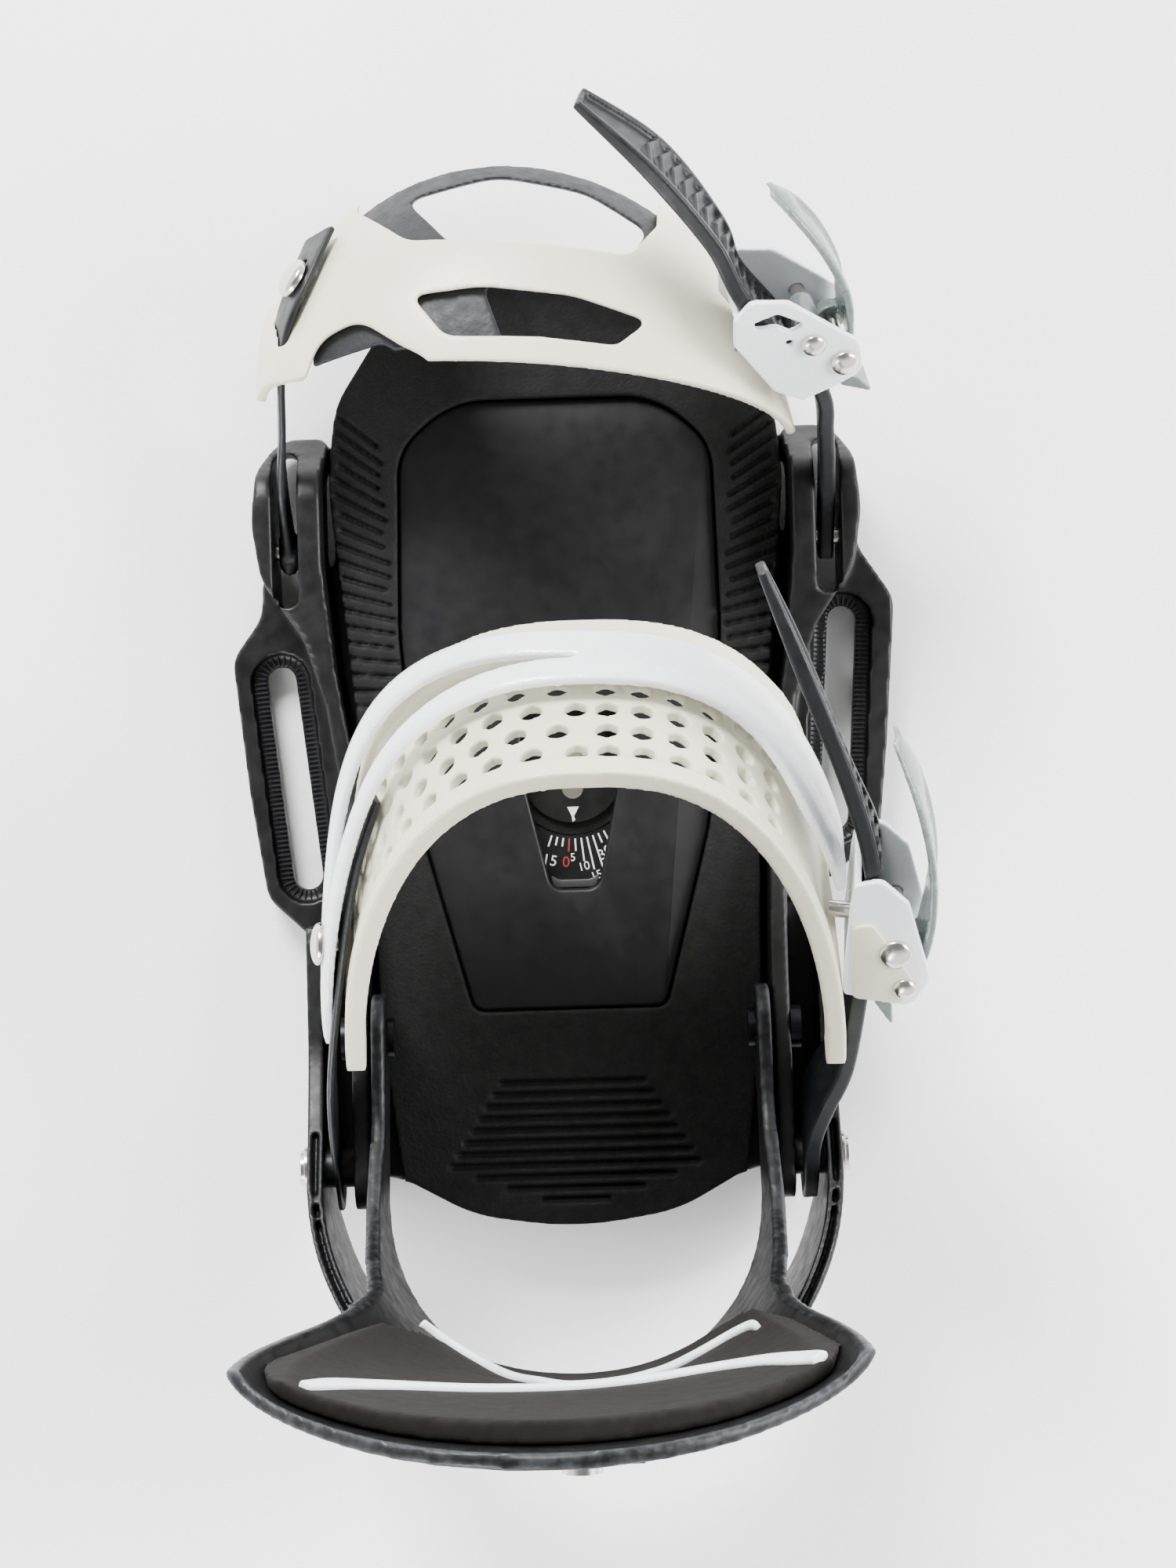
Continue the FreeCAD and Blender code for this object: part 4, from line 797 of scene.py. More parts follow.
pad_front = [(-66.0, 190.0, 8), (-62.0, 212.0, 12), (-34.0, 229.0, 50), (-5.0, 235.0, 80),
             (24.0, 229.0, 50), (52.0, 208.0, 12), (56.0, 186.0, 8), (48.0, 148.0, 20),
             (32.0, 112.0, 16), (0.0, 96.0, 40), (-32.0, 112.0, 16), (-50.0, 148.0, 20)]
pad_reach = [(-118.5, 60.0, 0), (-118.5, 252.0, 0), (-172.0, 252.0, 0), (-172.0, 60.0, 0)]
pad_blank = sheet(calf_wall, calf_turns, spread(90.0, 240.0, 60), pad_back, pad_face)
pad = moulded([machined(pad_blank, keeps=[from_front(pad_front), from_side(pad_reach)])],
              grain=0.75, passes=10)
calf_pad = piece_of("calf_pad", pad, calf_fabric, "highback", "calf_foam", "highback_pad")


def calf_strip(stations):
    """A raised strip on the pad through stations of x, height, width."""
    rings, line, outs = [], [], []
    run = smooth_run(stations, 8)
    for x, z, wide in run:
        half, centre, middle, reach = calf_section(z)
        half, reach = half - pad_face, reach - pad_face
        k = max(-0.999, min(0.999, (x - middle) / half))
        line.append(Vector((x, centre - reach * math.sqrt(1 - k * k), z)))
        outs.append(Vector((-k / half, math.sqrt(1 - k * k) / reach, 0.0)).normalized())
    for i, (x, z, wide) in enumerate(run):
        along = (line[min(i + 1, len(run) - 1)] - line[max(i - 1, 0)]).normalized()
        out = outs[i]
        side = along.cross(out).normalized()
        ring = []
        for t in spread(0.0, 2 * math.pi, 17)[:-1]:
            c, s = math.cos(t), math.sin(t)
            ring.append(line[i] + side * wide / 2 * math.copysign(abs(c) ** 0.6, c)
                        + out * (0.4 + 1.1 * math.copysign(abs(s) ** 0.8, s)))
        rings.append(ring)
    return lofted(rings)


long_strip = calf_strip([(-55.0, 213.0, 3.0), (-50.0, 203.0, 5.5), (-44.0, 197.0, 5.2),
                         (-33.0, 191.0, 4.2), (-13.0, 187.0, 3.4), (0.0, 185.0, 3.2),
                         (12.0, 181.0, 3.6), (26.0, 177.0, 4.6), (39.0, 185.0, 5.4),
                         (47.0, 199.0, 5.6), (50.0, 208.0, 4.0)])
short_strip = calf_strip([(-36.0, 114.0, 1.4), (-32.0, 113.0, 2.2), (-26.0, 115.0, 2.6),
                          (-20.0, 123.0, 2.8), (-11.5, 150.0, 3.0), (-3.7, 178.0, 3.0),
                          (3.0, 181.0, 3.0), (10.6, 175.0, 3.2), (18.0, 160.0, 3.4),
                          (25.0, 144.0, 3.4), (32.0, 139.0, 3.4), (38.0, 143.0, 3.0),
                          (40.0, 149.0, 1.6)])
piece_of("calf_strips", moulded([long_strip, short_strip], grain=0.4, passes=2), rubber_white,
         "highback", "white_trim", "highback_trim")

# ---------------------------------------------------------------- ankle strap
ankle_rear = (-68.0, 73.0, 70.7, 52.7)     # y and z of the ends, rise in y and z to the crown
ankle_front = (-13.0, 43.0, 52.5, 40.0)


def ankle_edge(angle, line, skew):
    t = math.radians(angle)
    y, z, rise_y, rise_z = line
    reach = math.copysign(abs(math.sin(t)) ** 0.8, t)
    return Vector((5.6 + 60.0 * reach, y + rise_y * math.cos(t),
                   z + skew * math.sin(t) + rise_z * math.cos(t)))


def ankle_point(angle, share, lift):
    """A point over the ankle: angle, share from the rear edge to the front one, and lift."""
    rear, front = ankle_edge(angle, ankle_rear, 7.0), ankle_edge(angle, ankle_front, 0.0)
    near = [(ankle_edge(angle + d, ankle_rear, 7.0) + ankle_edge(angle + d, ankle_front, 0.0))
            * 0.5 for d in (-1.0, 1.0)]
    normal = (front - rear).cross(near[1] - near[0]).normalized()
    t = math.radians(angle)
    if normal.dot(Vector((math.sin(t), 0, math.cos(t)))) < 0:
        normal = -normal
    return rear + (front - rear) * share + normal * lift


def ankle_axes(angle, share):
    """Round, across and outward directions of the ankle strap at a point."""
    here = ankle_point(angle, share, 0.0)
    out = (ankle_point(angle, share, 1.0) - here).normalized()
    round_way = (ankle_point(angle + 1.0, share, 0.0) - ankle_point(angle - 1.0, share, 0.0))
    return round_way.normalized(), out


pad_run = smooth_run([(-91, 0.02, 0.16), (-80, 0.0, 0.45), (-62, 0.0, 0.92),
                      (-40, 0.0, 1.0), (0, 0.0, 1.0), (40, 0.0, 1.0), (60, 0.0, 0.92),
                      (72, 0.0, 0.42), (80, 0.0, 0.12), (91, 0.01, 0.12)], 12)


def pad_edges(angle):
    angles = [s[0] for s in pad_run]
    return [float(np.interp(angle, angles, [s[k] for s in pad_run])) for k in (1, 2)]


def pad_place(angle, across, lift):
    first, last = pad_edges(angle)
    return ankle_point(angle, first + (last - first) * across, lift)


def pad_length(angle):
    first, last = pad_edges(angle)
    rear, front = ankle_point(angle, first, 0), ankle_point(angle, last, 0)
    return (front - rear).length


def rim_share(angle, across):
    """1 on the smooth rims along both edges and 0 on the lattice between them."""
    long = max(pad_length(angle), 1.0)
    edge = min(across, 1 - across) * long
    wide = 7.0
    return 1.0 - min(1.0, max(0.0, (edge - wide + 1.2) / 1.6))


def lattice_cutters():
    """Columns with six sides, through the lattice's cells, in staggered rows."""
    cell = lofted([[Vector((math.cos(math.pi * (k + 0.5) / 3), math.sin(math.pi * (k + 0.5) / 3),
                            h)) for k in range(6)] for h in (-5.0, 4.0)])
    through, dimples = [], []
    row_gap, pitch = 7.6, 9.4
    for row in range(8):
        distance = 9.4 + row * row_gap
        angle = -86.0 + (0.5 if row % 2 else 0.0) * 8.5
        while angle < 86.0:
            long = pad_length(angle)
            if distance < long - 9.0:
                across = distance / long
                first, last = pad_edges(angle)
                share = first + (last - first) * across
                along, out = ankle_axes(angle, share)
                at = ankle_point(angle, share, -1.0)
                if angle > 44.0:
                    at = ankle_point(angle, share, -6.8)
                    dimples.append((at, along, out, (4.3, 4.0, 0.8)))
                else:
                    through.append((at, along, out, (2.9, 2.6, 1.6)))
            here = ankle_point(angle, 0.5, 0)
            per_degree = (ankle_point(angle + 1.0, 0.5, 0) - here).length
            angle += pitch / max(per_degree, 0.4)
    return shape_from(repeated(cell, through + dimples))


def ankle_pad():
    sheet_form = sheet(pad_place, spread(-91.0, 91.0, 151), spread(0.0, 1.0, 45),
                       lambda a, s: -4.2 - 0.5 * rim_share(a, s),
                       lambda a, s: -1.3 + 1.5 * rim_share(a, s))
    return moulded([machined(sheet_form, cuts=[lattice_cutters()], crossing=True)], grain=0.55,
                   passes=6)


ankle_cushion = piece_of("ankle_pad", ankle_pad(), tpu_ivory, "ankle_strap", "cream_rubber",
                         "ankle_pad")


def crowned_band(stations):
    """A band through stations of angle, first share and last share, higher in its middle."""
    low, high, crown_height = 3.1, 5.7, 0.9
    run = smooth_run(stations, 10)
    shares = spread(0.0, 1.0, 13)
    rings = []
    for angle, first, last in run:
        top = [ankle_point(angle, first + (last - first) * s,
                           high + crown_height * (1 - (2 * s - 1) ** 2) - 0.5) for s in shares]
        under = [ankle_point(angle, first + (last - first) * s, low) for s in reversed(shares)]
        rings.append(top + under)
    return lofted(rings)


upper_band = [(-90, 0.12, 0.34), (-78, 0.3, 0.6), (-62, 0.66, 0.84), (-40, 0.78, 0.92),
              (0, 0.65, 0.82), (30, 0.5, 0.78), (48, 0.36, 0.7), (64, 0.3, 0.6)]
lower_band = [(-90, 0.12, 0.34), (-78, 0.14, 0.36), (-62, 0.28, 0.43), (-40, 0.46, 0.58),
              (0, 0.49, 0.64), (30, 0.44, 0.6), (48, 0.26, 0.5), (64, 0.2, 0.46)]
ankle_frame = moulded([crowned_band(upper_band), crowned_band(lower_band)], grain=0.5, passes=5)
piece_of("ankle_frame", ankle_frame, nylon_white, "ankle_strap", "white_plastic",
         "ankle_frame")


# ---------------------------------------------------------------- straps
def path_rings(stations, steps, section):
    """Rings of a strap: section gives side and lift pairs from half width, below, above."""
    run = smooth_run(stations, steps)
    points = [Vector(s[:3]) for s in run]
    rings, frames = [], []
    for i, s in enumerate(run):
        along = (points[min(i + 1, len(run) - 1)] - points[max(i - 1, 0)]).normalized()
        normal = Vector(s[3:6])
        up = (normal - along * normal.dot(along)).normalized()
        side = up.cross(along)
        rings.append([points[i] + side * a + up * b for a, b in section(*s[6:9])])
        frames.append((points[i], along, up, s[6] / 2))
    return rings, frames


def flat_section(wide, below, above):
    """A flat strap with round edges."""
    half = wide / 2
    middle, rise = (above - below) / 2, (above + below) / 2
    sides = []
    for k in range(20):
        t = 2 * math.pi * k / 20
        c, s = math.cos(t), math.sin(t)
        sides.append((math.copysign(abs(c) ** 0.35, c) * half,
                      middle + math.copysign(abs(s) ** 0.5, s) * rise))
    return sides


def railed_section(wide, below, above):
    """A ladder's section: a rail along each edge and a sunk floor between them."""
    half = wide / 2
    rail = min(2.0, half * 0.3)
    floor_lift = above - 1.5 if wide > 9.5 else above - 0.4
    return [(-half, -below + 0.4), (-half + 0.5, -below), (half - 0.5, -below),
            (half, -below + 0.4), (half, above - 0.5), (half - 0.5, above - 0.1),
            (half - rail, above - 0.1), (half - rail - 0.5, floor_lift),
            (-half + rail + 0.5, floor_lift), (-half + rail, above - 0.1),
            (-half + 0.5, above - 0.1), (-half, above - 0.5)]


def ladder(stations, teeth_from, teeth_to):
    """A ratchet ladder: a railed strap and its chevron teeth, set out along it."""
    rings, frames = path_rings(stations, 14, railed_section)
    chevron = []
    rise, lead = 1.75, 2.2
    for side in (-1, 0, 1):
        forward = lead * (1 - abs(side))
        chevron.append([Vector((forward - 1.9, side, 0)), Vector((forward + 1.3, side, 0)),
                        Vector((forward + 0.9, side, rise * (1 if side == 0 else 0.75)))])
    tooth = lofted(chevron)
    places, travelled, due = [], 0.0, teeth_from
    for (a, _, _, _), (b, along, up, half) in zip(frames, frames[1:]):
        step = (b - a).length
        while travelled + step > due and due < teeth_to:
            at = a + (b - a) * ((due - travelled) / step) + up * 0.45
            places.append((at, along, up, (1.0, half - 2.6, 1.0)))
            due += tooth_pitch
        travelled += step
    teeth = shape_from(repeated(tooth, places))
    return rings, teeth


class Placed:
    """A buckle's own frame: u along the ladder, v across it and w outwards."""

    def __init__(self, underside, along, normal):
        self.u = Vector(along).normalized()
        square = Vector(normal) - self.u * Vector(normal).dot(self.u)
        self.w = square.normalized()
        self.v = self.w.cross(self.u)
        self.origin = Vector(underside) + self.w * 2.0

    def point(self, u, v, w):
        return self.origin + self.u * u + self.v * v + self.w * w

    def plate(self, corners, low, high):
        return prism(loop_of(corners), lambda u, w, v: self.point(u, v, w), low, high)


ankle_buckle = Placed((69.01, -33.19, 85.34), (0.07, 0.83, 0.55), (1.0, 0.0, 0.1))
toe_buckle = Placed((54.35, 108.26, 63.97), (-0.55, 0.55, 0.63), (0.8, 0.45, 0.3))
lever_pin, pawl_pin = (-9.5, 10.0), (0.0, 7.0)
ankle_wide, toe_wide, tooth_pitch = 22.0, 19.0, 4.1
outer_ankle, outer_toe = ankle_wide / 2 + 2.4, toe_wide / 2 + 2.4


def through_buckle(at, wide):
    return [(*at.point(u, 0, 0), *at.w, wide, 2.0, 2.0) for u in (-15.0, 2.0, 19.0)]


ankle_stations = [(58.75, -101.5, 30.5, 1, 0, 0, 12, 2, 2),
                  (58.75, *ankle_pivot, 1, 0, 0, 20, 2, 2), (59.15, -84, 43.5, 1, 0, 0, 22, 2, 2),
                  (61.75, -76, 49.5, 1, 0, 0, 22, 2, 2), (67.0, -65.0, 58.5, 1, 0, 0.1, 22, 2, 2),
                  *through_buckle(ankle_buckle, ankle_wide),
                  (65.5, 2.0, 106.5, 1, 0.3, 0.1, 22, 2, 2),
                  (55.0, 28.0, 118.0, 1, 0.35, 0.1, 22, 2, 2),
                  (46.5, 48.0, 127.0, 1, 0.35, 0.1, 8.0, 1.2, 1.2)]
toe_stations = [(68.7, 59.0, 12.4, 1, 0, 0, 9, 2, 2), (68.7, *toe_pivot, 1, 0, 0, 10, 2, 2),
                (68.7, 77.0, 28.0, 1, 0, 0, 12, 2, 2),
                (67.5, 92.0, 43.5, 1, 0.1, 0.1, 19, 2, 2), *through_buckle(toe_buckle, toe_wide),
                (40.0, 130.5, 83.5, 0.7, 0.55, 0.4, 19, 2, 2),
                (26.0, 147.0, 91.5, 0.66, 0.55, 0.45, 19, 2, 2),
                (8.5, 161.0, 97.0, 0.62, 0.55, 0.5, 9.0, 1.2, 1.2)]

rings, teeth = ladder(ankle_stations, 52.0, 152.0)
strap_hole = across_rod(ankle_pivot, 48.0, 64.0, eye_radius)
ankle_ladder = moulded([machined(lofted(rings), cuts=[strap_hole]), teeth], grain=0.42,
                       passes=1)
piece_of("ankle_ladder", ankle_ladder, strap_tpu, "ankle_strap", "strap_rubber",
         "ankle_ladder")
rings, teeth = ladder(toe_stations, 34.0, 134.0)
toe_eye = turned(Vector((66.7, *toe_pivot)), Vector((1, 0, 0)),
                 [(4.6, 0.0), (5.0, 0.4), (5.0, 3.6), (4.6, 4.0)])
toe_ladder = moulded([lofted(rings), toe_eye, teeth], grain=0.42, passes=1)
piece_of("toe_ladder", toe_ladder, strap_tpu, "toe_strap", "strap_rubber", "toe_ladder")


def ankle_station(angle, share, lift, wide):
    here = ankle_point(angle, share, lift)
    return (*here, *(ankle_point(angle, share, lift + 1.0) - here), wide, 1.0, 1.0)


def ankle_line(angle, share, low, high, radius):
    return rod_shape(ankle_point(angle, share, low), ankle_point(angle, share, high), radius)


connector_stations = [(-58.75, -101.5, 30.5, -1, 0, 0, 12, 1, 1),
                      (-58.75, *ankle_pivot, -1, 0, 0, 18, 1, 1),
                      (-59.35, -80.0, 47.0, -1, 0, 0, 17, 1, 1),
                      (-58.55, -66.0, 57.0, -1, 0, 0, 15, 1, 1),
                      ankle_station(-78, 0.29, 1.4, 15), ankle_station(-64, 0.42, 1.4, 15),
                      ankle_station(-52, 0.54, 1.4, 14)]
rings, _ = path_rings(connector_stations, 10, flat_section)
holes = [ankle_line(a, s, -3.0, 9.0, 2.2) for a, s in ((-68.0, 0.38), (-60.0, 0.46))]
holes.append(across_rod(ankle_pivot, -70.0, -50.0, eye_radius))
piece_of("ankle_connector", moulded([machined(lofted(rings), cuts=holes)], grain=0.4,
                                    passes=1),
         strap_tpu, "ankle_strap", "strap_rubber", "ankle_connector")


# ---------------------------------------------------------------- toe strap
def toe_place(angle, share):
    t = math.radians(angle)
    c = math.cos(t)
    slant = -6.0 * math.sin(t)
    rear = Vector((-4.5 + 62.5 * math.sin(t), 90.0 + 11.0 * c + slant, 38.0 + 40.0 * c ** 0.8))
    front = Vector((-6.0 + 62.0 * math.sin(t), 94.0 + 61.0 * c + slant, 29.0 + 11.0 * c))
    bulge = 36.0 * share * (1 - share) * c
    return rear + (front - rear) * share + Vector((0, 0.5 * bulge, 0.86 * bulge))


def toe_point(angle, share, lift):
    """A point over the toes: angle, share from the rear edge to the front one, and lift."""
    angle = max(-85.0, min(85.0, angle))
    along = toe_place(angle + 1.0, share) - toe_place(angle - 1.0, share)
    wide = toe_place(angle, share + 0.02) - toe_place(angle, share - 0.02)
    normal = along.cross(wide).normalized()
    t = math.radians(angle)
    if normal.dot(Vector((math.sin(t), 0.2, math.cos(t)))) < 0:
        normal = -normal
    return toe_place(angle, share) + normal * lift


toe_slot = [(-33.0, 119.0, 2), (-16.0, 120.5, 30), (6.0, 117.5, 30), (24.0, 111.0, 2),
            (16.0, 105.0, 4), (-3.0, 107.5, 30), (-25.0, 108.5, 6)]
toe_opening = [(-35.0, 146.0, 3), (-12.0, 151.5, 20), (10.0, 146.5, 20), (25.0, 136.0, 4),
               (20.0, 128.0, 5), (0.0, 131.0, 30), (-24.0, 133.0, 4)]
claw_notch = [(-61.0, 88.0, 0), (-61.5, 97.0, 0), (-56.0, 110.0, 10), (-46.0, 114.0, 8),
              (-36.0, 107.0, 12), (-28.0, 102.5, 10), (-26.0, 88.0, 0)]
liner_slot = [(-16.0, 121.5, 3), (5.0, 119.0, 20), (25.0, 112.0, 3), (14.0, 103.5, 4),
              (-11.0, 106.5, 4)]
cap_front = [(-44.0, 170.0, 0), (-47.0, 144.0, 0), (-34.0, 133.5, 8), (-24.0, 133.0, 0),
             (0.0, 131.0, 30), (20.0, 128.0, 5), (27.0, 137.0, 0), (30.0, 170.0, 0)]
liner_keep = [(-58.0, 170.0, 0), (-58.0, 104.0, 0), (-40.0, 108.0, 4), (-30.0, 100.0, 0),
              (40.0, 93.0, 0), (48.0, 98.0, 6), (44.0, 170.0, 0)]
toe_angles = spread(-84.0, 84.0, 97)


def wing_lift(angle):
    """How far the cap's left wing stands clear, so that its connector passes below it."""
    t = min(1.0, max(0.0, (-60.0 - angle) / 14.0))
    return 4.0 * t * t * (3.0 - 2.0 * t)


def toe_station(angle, share, lift, wide):
    here = toe_point(angle, share, lift)
    return (*here, *(toe_point(angle, share, lift + 1.0) - here), wide, 1.0, 1.0)


toe_connector_run = [(-68.7, 59.0, 12.4, -1, 0, 0, 8, 1.8, 1.8),
                     (-68.7, *toe_pivot, -1, 0, 0, 9, 1.8, 1.8),
                     (-69.2, 78.0, 26.0, -1, 0, 0, 10, 1.2, 1.2),
                     (-68.2, 92.0, 34.0, -1, 0, 0.1, 11, 1.0, 1.0),
                     toe_station(-76, 0.42, 1.6, 12), toe_station(-66, 0.52, 4.2, 13),
                     toe_station(-57, 0.66, 5.0, 13), toe_station(-49, 0.88, 5.4, 13)]


def toe_connector_band(extra):
    """The toe connector's band, wider and thicker by extra at every side."""
    run = [(*s[:6], s[6] + 2 * extra, s[7] + extra, s[8] + extra) for s in toe_connector_run]
    return path_rings(run, 10, flat_section)


cap_sheet = sheet(toe_point, toe_angles, spread(0.0, 1.0, 41),
                  lambda a, s: 0.3 + wing_lift(a), lambda a, s: 2.8 + wing_lift(a))
toe_cap = moulded([machined(cap_sheet, cuts=[*[from_above(c, 0.0, 140.0)
                                               for c in (toe_slot, claw_notch, cap_front)],
                                             lofted(toe_connector_band(0.15)[0])])],
                  grain=0.55, passes=5)
piece_of("toe_cap", toe_cap, tpu_ivory, "toe_strap", "cream_rubber", "toe_cap")
liner_sheet = sheet(toe_point, toe_angles, spread(0.06, 1.0, 39), -2.2, 0.0)
toe_liner = moulded([machined(liner_sheet, cuts=[from_above(c, 0.0, 140.0)
                                                 for c in (liner_slot, toe_opening)],
                              keeps=[from_above(liner_keep, 0.0, 140.0)])],
                    grain=0.55, passes=4)
piece_of("toe_liner", toe_liner, liner_tpu, "toe_strap", "strap_rubber", "toe_liner")


rings, frames = toe_connector_band(0.0)
hole_at, _, hole_out, _ = frames[-8]       # near the connector's free end
toe_hole = rod_shape(hole_at - hole_out * 3, hole_at + hole_out * 3, 1.7)
eye = turned(Vector((-71.1, *toe_pivot)), Vector((1, 0, 0)),
             [(4.2, 0.0), (4.6, 0.4), (4.6, 4.4), (4.2, 4.8)])
piece_of("toe_connector", moulded([machined(lofted(rings), cuts=[toe_hole]), eye], grain=0.4,
                                  passes=1),
         strap_tpu, "toe_strap", "strap_rubber", "toe_connector")


# ---------------------------------------------------------------- bolts and rivets
def domed(radius, height, shank, sunk):
    """Profile of a domed head on a shank that reaches sunk below it."""
    dome = [(radius * math.cos(t), height * (0.35 + 0.65 * math.sin(t)))
            for t in spread(0.0, math.pi / 2, 10)]
    return ([(0.0, -sunk), (shank, -sunk), (shank, 0.0), (radius * 0.92, 0.0),
             (radius, height * 0.12)] + dome[:-1] + [(0.0, height)])


def bolt(name, foot, axis, radius, height, shank, sunk, body, *nodes):
    piece_of(name, turned(foot, axis, domed(radius, height, shank, sunk)), steel, body,
             "steel", *nodes, crease=32)


def over_ankle(angle, share, lift):
    here = ankle_point(angle, share, lift)
    return here, ankle_point(angle, share, lift + 1.0) - here


here, out = over_ankle(-77.0, 0.3, 5.9)
bolt("ankle_bolt", here, out, 5.2, 3.0, 2.1, 5.5, "ankle_strap", "ankle_bolt")
here = toe_point(-57.0, 0.66, 6.2)
bolt("toe_bolt", here, toe_point(-57.0, 0.66, 7.2) - here, 5.0, 3.0, 2.1, 5.5, "toe_strap",
     "toe_bolt")
for strap, at, outer, heads in (("ankle", ankle_buckle, outer_ankle, (2.8, 3.9)),
                                ("toe", toe_buckle, outer_toe, (3.4, 3.0))):
    for label, (u, w), radius in (("lever_pin", lever_pin, heads[0]),
                                  ("pawl_pin", pawl_pin, heads[1])):
        shapes = [turned(at.point(u, side * (outer + 0.05), w), at.v * side,
                         domed(radius, 2.2, 1.75, outer + 0.05)) for side in (-1, 1)]
        piece_of(strap + "_" + label, joined(*shapes), steel, strap + "_strap", "steel",
                 strap + "_" + label, crease=32)


def flanged(side, x, pivot):
    """A cap bolt with a flange and a driven recess, seen from outside."""
    profile = [(0.0, -13.0), (2.9, -13.0), (2.9, 0.0), (5.4, 0.0), (5.6, 0.3), (5.6, 0.9),
               (5.2, 1.1), (4.4, 1.15), (4.4, 1.9), (4.1, 2.2), (2.2, 2.2), (1.9, 1.2),
               (0.0, 1.0)]
    return turned(Vector((side * x, *pivot)), Vector((side, 0, 0)), profile)


strap_bolts = joined(*[flanged(s, 66.55, ankle_pivot) for s in (-1, 1)])
piece_of("strap_bolts", strap_bolts, steel, "base", "steel", "strap_bolts", crease=30)


# ---------------------------------------------------------------- buckles and levers
def buckle(name, cuts=()):
    return moulded([machined(cad_form(name), cuts=cuts)], grain=0.36, passes=3)


window_cut = toe_buckle.plate([(6.0, 8.6, 1.5), (13.0, 5.0, 1.2), (14.5, -1.0, 1.0),
                               (12.5, -1.5, 0.8), (10.0, 3.0, 4.0), (6.5, 4.5, 1.0)],
                              outer_toe - 4.0, outer_toe + 2.0)
small_hole = rod_shape(toe_buckle.point(3.8, outer_toe - 4.0, 2.6),
                       toe_buckle.point(3.8, outer_toe + 2.0, 2.6), 1.0)
piece_of("toe_buckle", buckle("toe_buckle", [window_cut, small_hole]), acetal_white, "toe_strap",
         "white_plastic", "toe_buckle")
piece_of("ankle_buckle", buckle("ankle_buckle"), acetal_white, "ankle_strap", "white_plastic",
         "ankle_buckle")
gusset = ankle_buckle.plate([(-13.5, -2.0, 2), (-14.0, 9.0, 3), (-9.5, 13.4, 4), (-3.0, 9.0, 3),
                             (8.0, 1.0, 2), (7.0, -3.6, 2)], outer_ankle - 0.1, outer_ankle + 0.9)
piece_of("ankle_gusset", bevelled(mesh_of(gusset), 0.4), tpu_ivory, "ankle_strap",
         "cream_rubber", crease=30)


def lever_form(at, wide, line):
    """A bowed lever: raised rims, a sunk middle and two hubs on its pin."""
    run = smooth_run(line, 10)
    across = spread(-1.0, 1.0, 25)
    rings = []
    last = len(run) - 1
    for i, (u, w, share, thick) in enumerate(run):
        half = (wide - 1.0) * share / 2
        sunk = 1.1 * min(1.0, max(0.0, (i - 0.12 * last) / (0.1 * last)),
                         max(0.0, (0.86 * last - i) / (0.14 * last)))
        top = []
        for s in across:
            crown_lift = 0.9 * (1 - s * s)
            bowl = sunk * min(1.0, max(0.0, (0.72 - abs(s)) / 0.14))
            top.append(at.point(u, s * half, w + thick - 0.5 + crown_lift - bowl))
        under = [at.point(u, s * half, w + 0.5 * (1 - s * s)) for s in reversed(across)]
        rings.append(top + under)
    hubs = [rod_shape(at.point(lever_pin[0], low, lever_pin[1]),
                      at.point(lever_pin[0], high, lever_pin[1]), 3.8, 32)
            for low, high in ((-(wide - 1) / 2, -5.2), (5.2, (wide - 1) / 2))]
    return moulded([lofted(rings), *hubs], grain=0.42, passes=4)


ankle_line_run = [(-9.5, 11.9, 0.9, 2.2), (0.0, 13.3, 1.0, 2.6), (11.0, 13.8, 1.0, 2.4),
                  (24.0, 12.2, 0.95, 2.2), (38.0, 8.0, 0.85, 2.0), (52.0, 1.4, 0.4, 1.6)]
toe_line_run = [(-9.5, 11.9, 0.9, 2.2), (0.0, 17.2, 1.0, 2.6), (8.0, 19.9, 1.0, 2.4),
                (18.0, 21.3, 0.95, 2.2), (28.0, 21.0, 0.7, 2.0), (36.5, 19.6, 0.3, 1.6)]
piece_of("ankle_lever", lever_form(ankle_buckle, ankle_wide, ankle_line_run), lever_paint,
         "ankle_lever", "lever_alloy", "ankle_lever")
piece_of("toe_lever", lever_form(toe_buckle, toe_wide, toe_line_run), lever_paint, "toe_lever",
         "lever_alloy", "toe_lever")

# ---------------------------------------------------------------- small parts as they are
for node, body, slot, finish, grain in (
        ("ankle_release", "ankle_release", "lever_alloy", lever_paint, 0.3),
        ("toe_release", "toe_release", "lever_alloy", lever_paint, 0.3),
        ("lean_block", "lean_block", "black_nylon", nylon_black, 0.4),
        ("lean_rail", "highback", "black_nylon", nylon_black, 0.35),
        ("toe_ramp", "base", "black_nylon", nylon_black, 0.6)):
    piece_of(node, moulded([cad_form(node)], grain=grain, passes=2), finish, body, slot, node)
for node, finish in (("base_gasket", gasket_foam), ("scale_plate", nylon_black),
                     ("stance_dial", nylon_black), ("dial_stud", steel),
                     ("strap_bushes", nylon_black), ("fold_bolts", steel_black),
                     ("fold_nuts", steel_black), ("toe_pins", steel), ("hoop_screws", steel),
                     ("lean_screw", steel), ("ankle_rivet", steel), ("toe_rivet", steel),
                     ("ankle_spring", steel), ("toe_spring", steel)):
    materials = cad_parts[node].data.materials
    if not materials:
        materials.append(finish)
    for k in range(len(materials)):
        materials[k] = finish

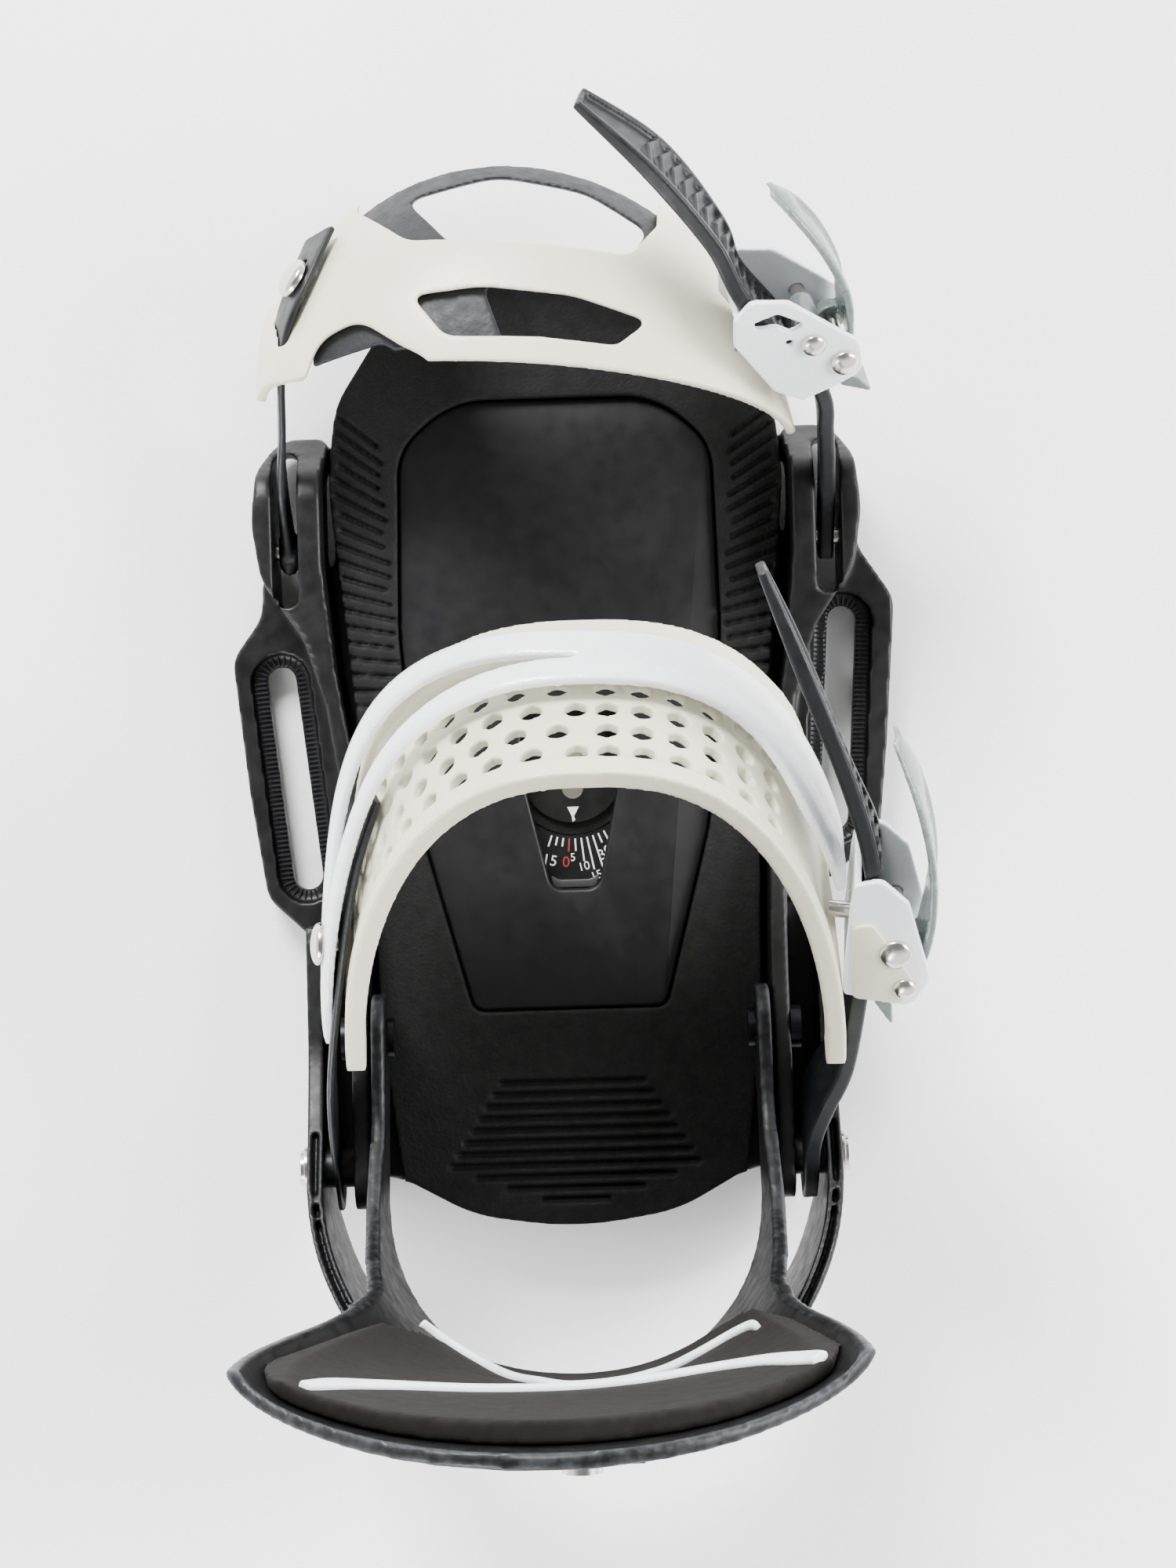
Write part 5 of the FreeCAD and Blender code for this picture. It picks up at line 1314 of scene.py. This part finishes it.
# ---------------------------------------------------------------- floor, light and camera
# Matt painted studio floor.
floor_paint = finish_of("studio_floor_paint", "#fafafa", "#fcfcfc", 0.85, mottle=300.0,
                        grain=2.0, depth=0.01)
ground = bpy.data.meshes.new("floor")
ground.from_pydata([(-3, -3, 0), (3, -3, 0), (3, 3, 0), (-3, 3, 0)], [], [(0, 1, 2, 3)])
ground.materials.append(floor_paint)
studio_floor = bpy.data.objects.new("studio_floor", ground)
studio_floor.location.z = -0.0005
scene.collection.objects.link(studio_floor)
studio_floor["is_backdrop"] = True

world = bpy.data.worlds.new("studio")
world.use_nodes = True
# A white tent round the object that is open, and so darker, straight above it.
sky = world.node_tree
ray = link_up(sky, "ShaderNodeTexCoord", {}).outputs["Generated"]
height = link_up(sky, "ShaderNodeSeparateXYZ", {0: ray}).outputs["Z"]
walls_bright, top_bright = 2.0, 0.3
tent = link_up(sky, "ShaderNodeMapRange",
               {0: height, 1: 0.45, 2: 0.88, 3: walls_bright, 4: top_bright},
               interpolation_type="SMOOTHSTEP")
sky.links.new(tent.outputs[0], sky.nodes["Background"].inputs["Strength"])
sky.nodes["Background"].inputs["Color"].default_value = (1.0, 1.0, 1.0, 1.0)
scene.world = world


def soft_light(name, place, size, power):
    lamp = bpy.data.lights.new(name, "AREA")
    lamp.shape, lamp.size, lamp.energy = "SQUARE", size, power
    holder = bpy.data.objects.new(name, lamp)
    holder.location = place
    aim = Vector((0.0, 0.0, 0.06)) - Vector(place)
    holder.rotation_euler = aim.to_track_quat("-Z", "Y").to_euler()
    scene.collection.objects.link(holder)


soft_light("key", (-0.5, 1.3, 1.15), 0.6, 84.0)
soft_light("fill", (1.3, 0.1, 0.9), 0.8, 46.0)
soft_light("back", (-0.6, -1.3, 0.8), 0.7, 34.0)

lens = bpy.data.cameras.new("camera")
lens.sensor_width, lens.lens = 36.0, 83.7
lens.clip_start = 0.01
camera = bpy.data.objects.new("camera", lens)
camera.location = (0.00606, 0.00027, 0.950)
camera.rotation_euler = (0.0, 0.0, math.radians(-1.7))
scene.collection.objects.link(camera)
scene.camera = camera

size = {"cad": [list(corner) for corner in cad_box],
        "visual": [list(corner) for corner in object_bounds()]}
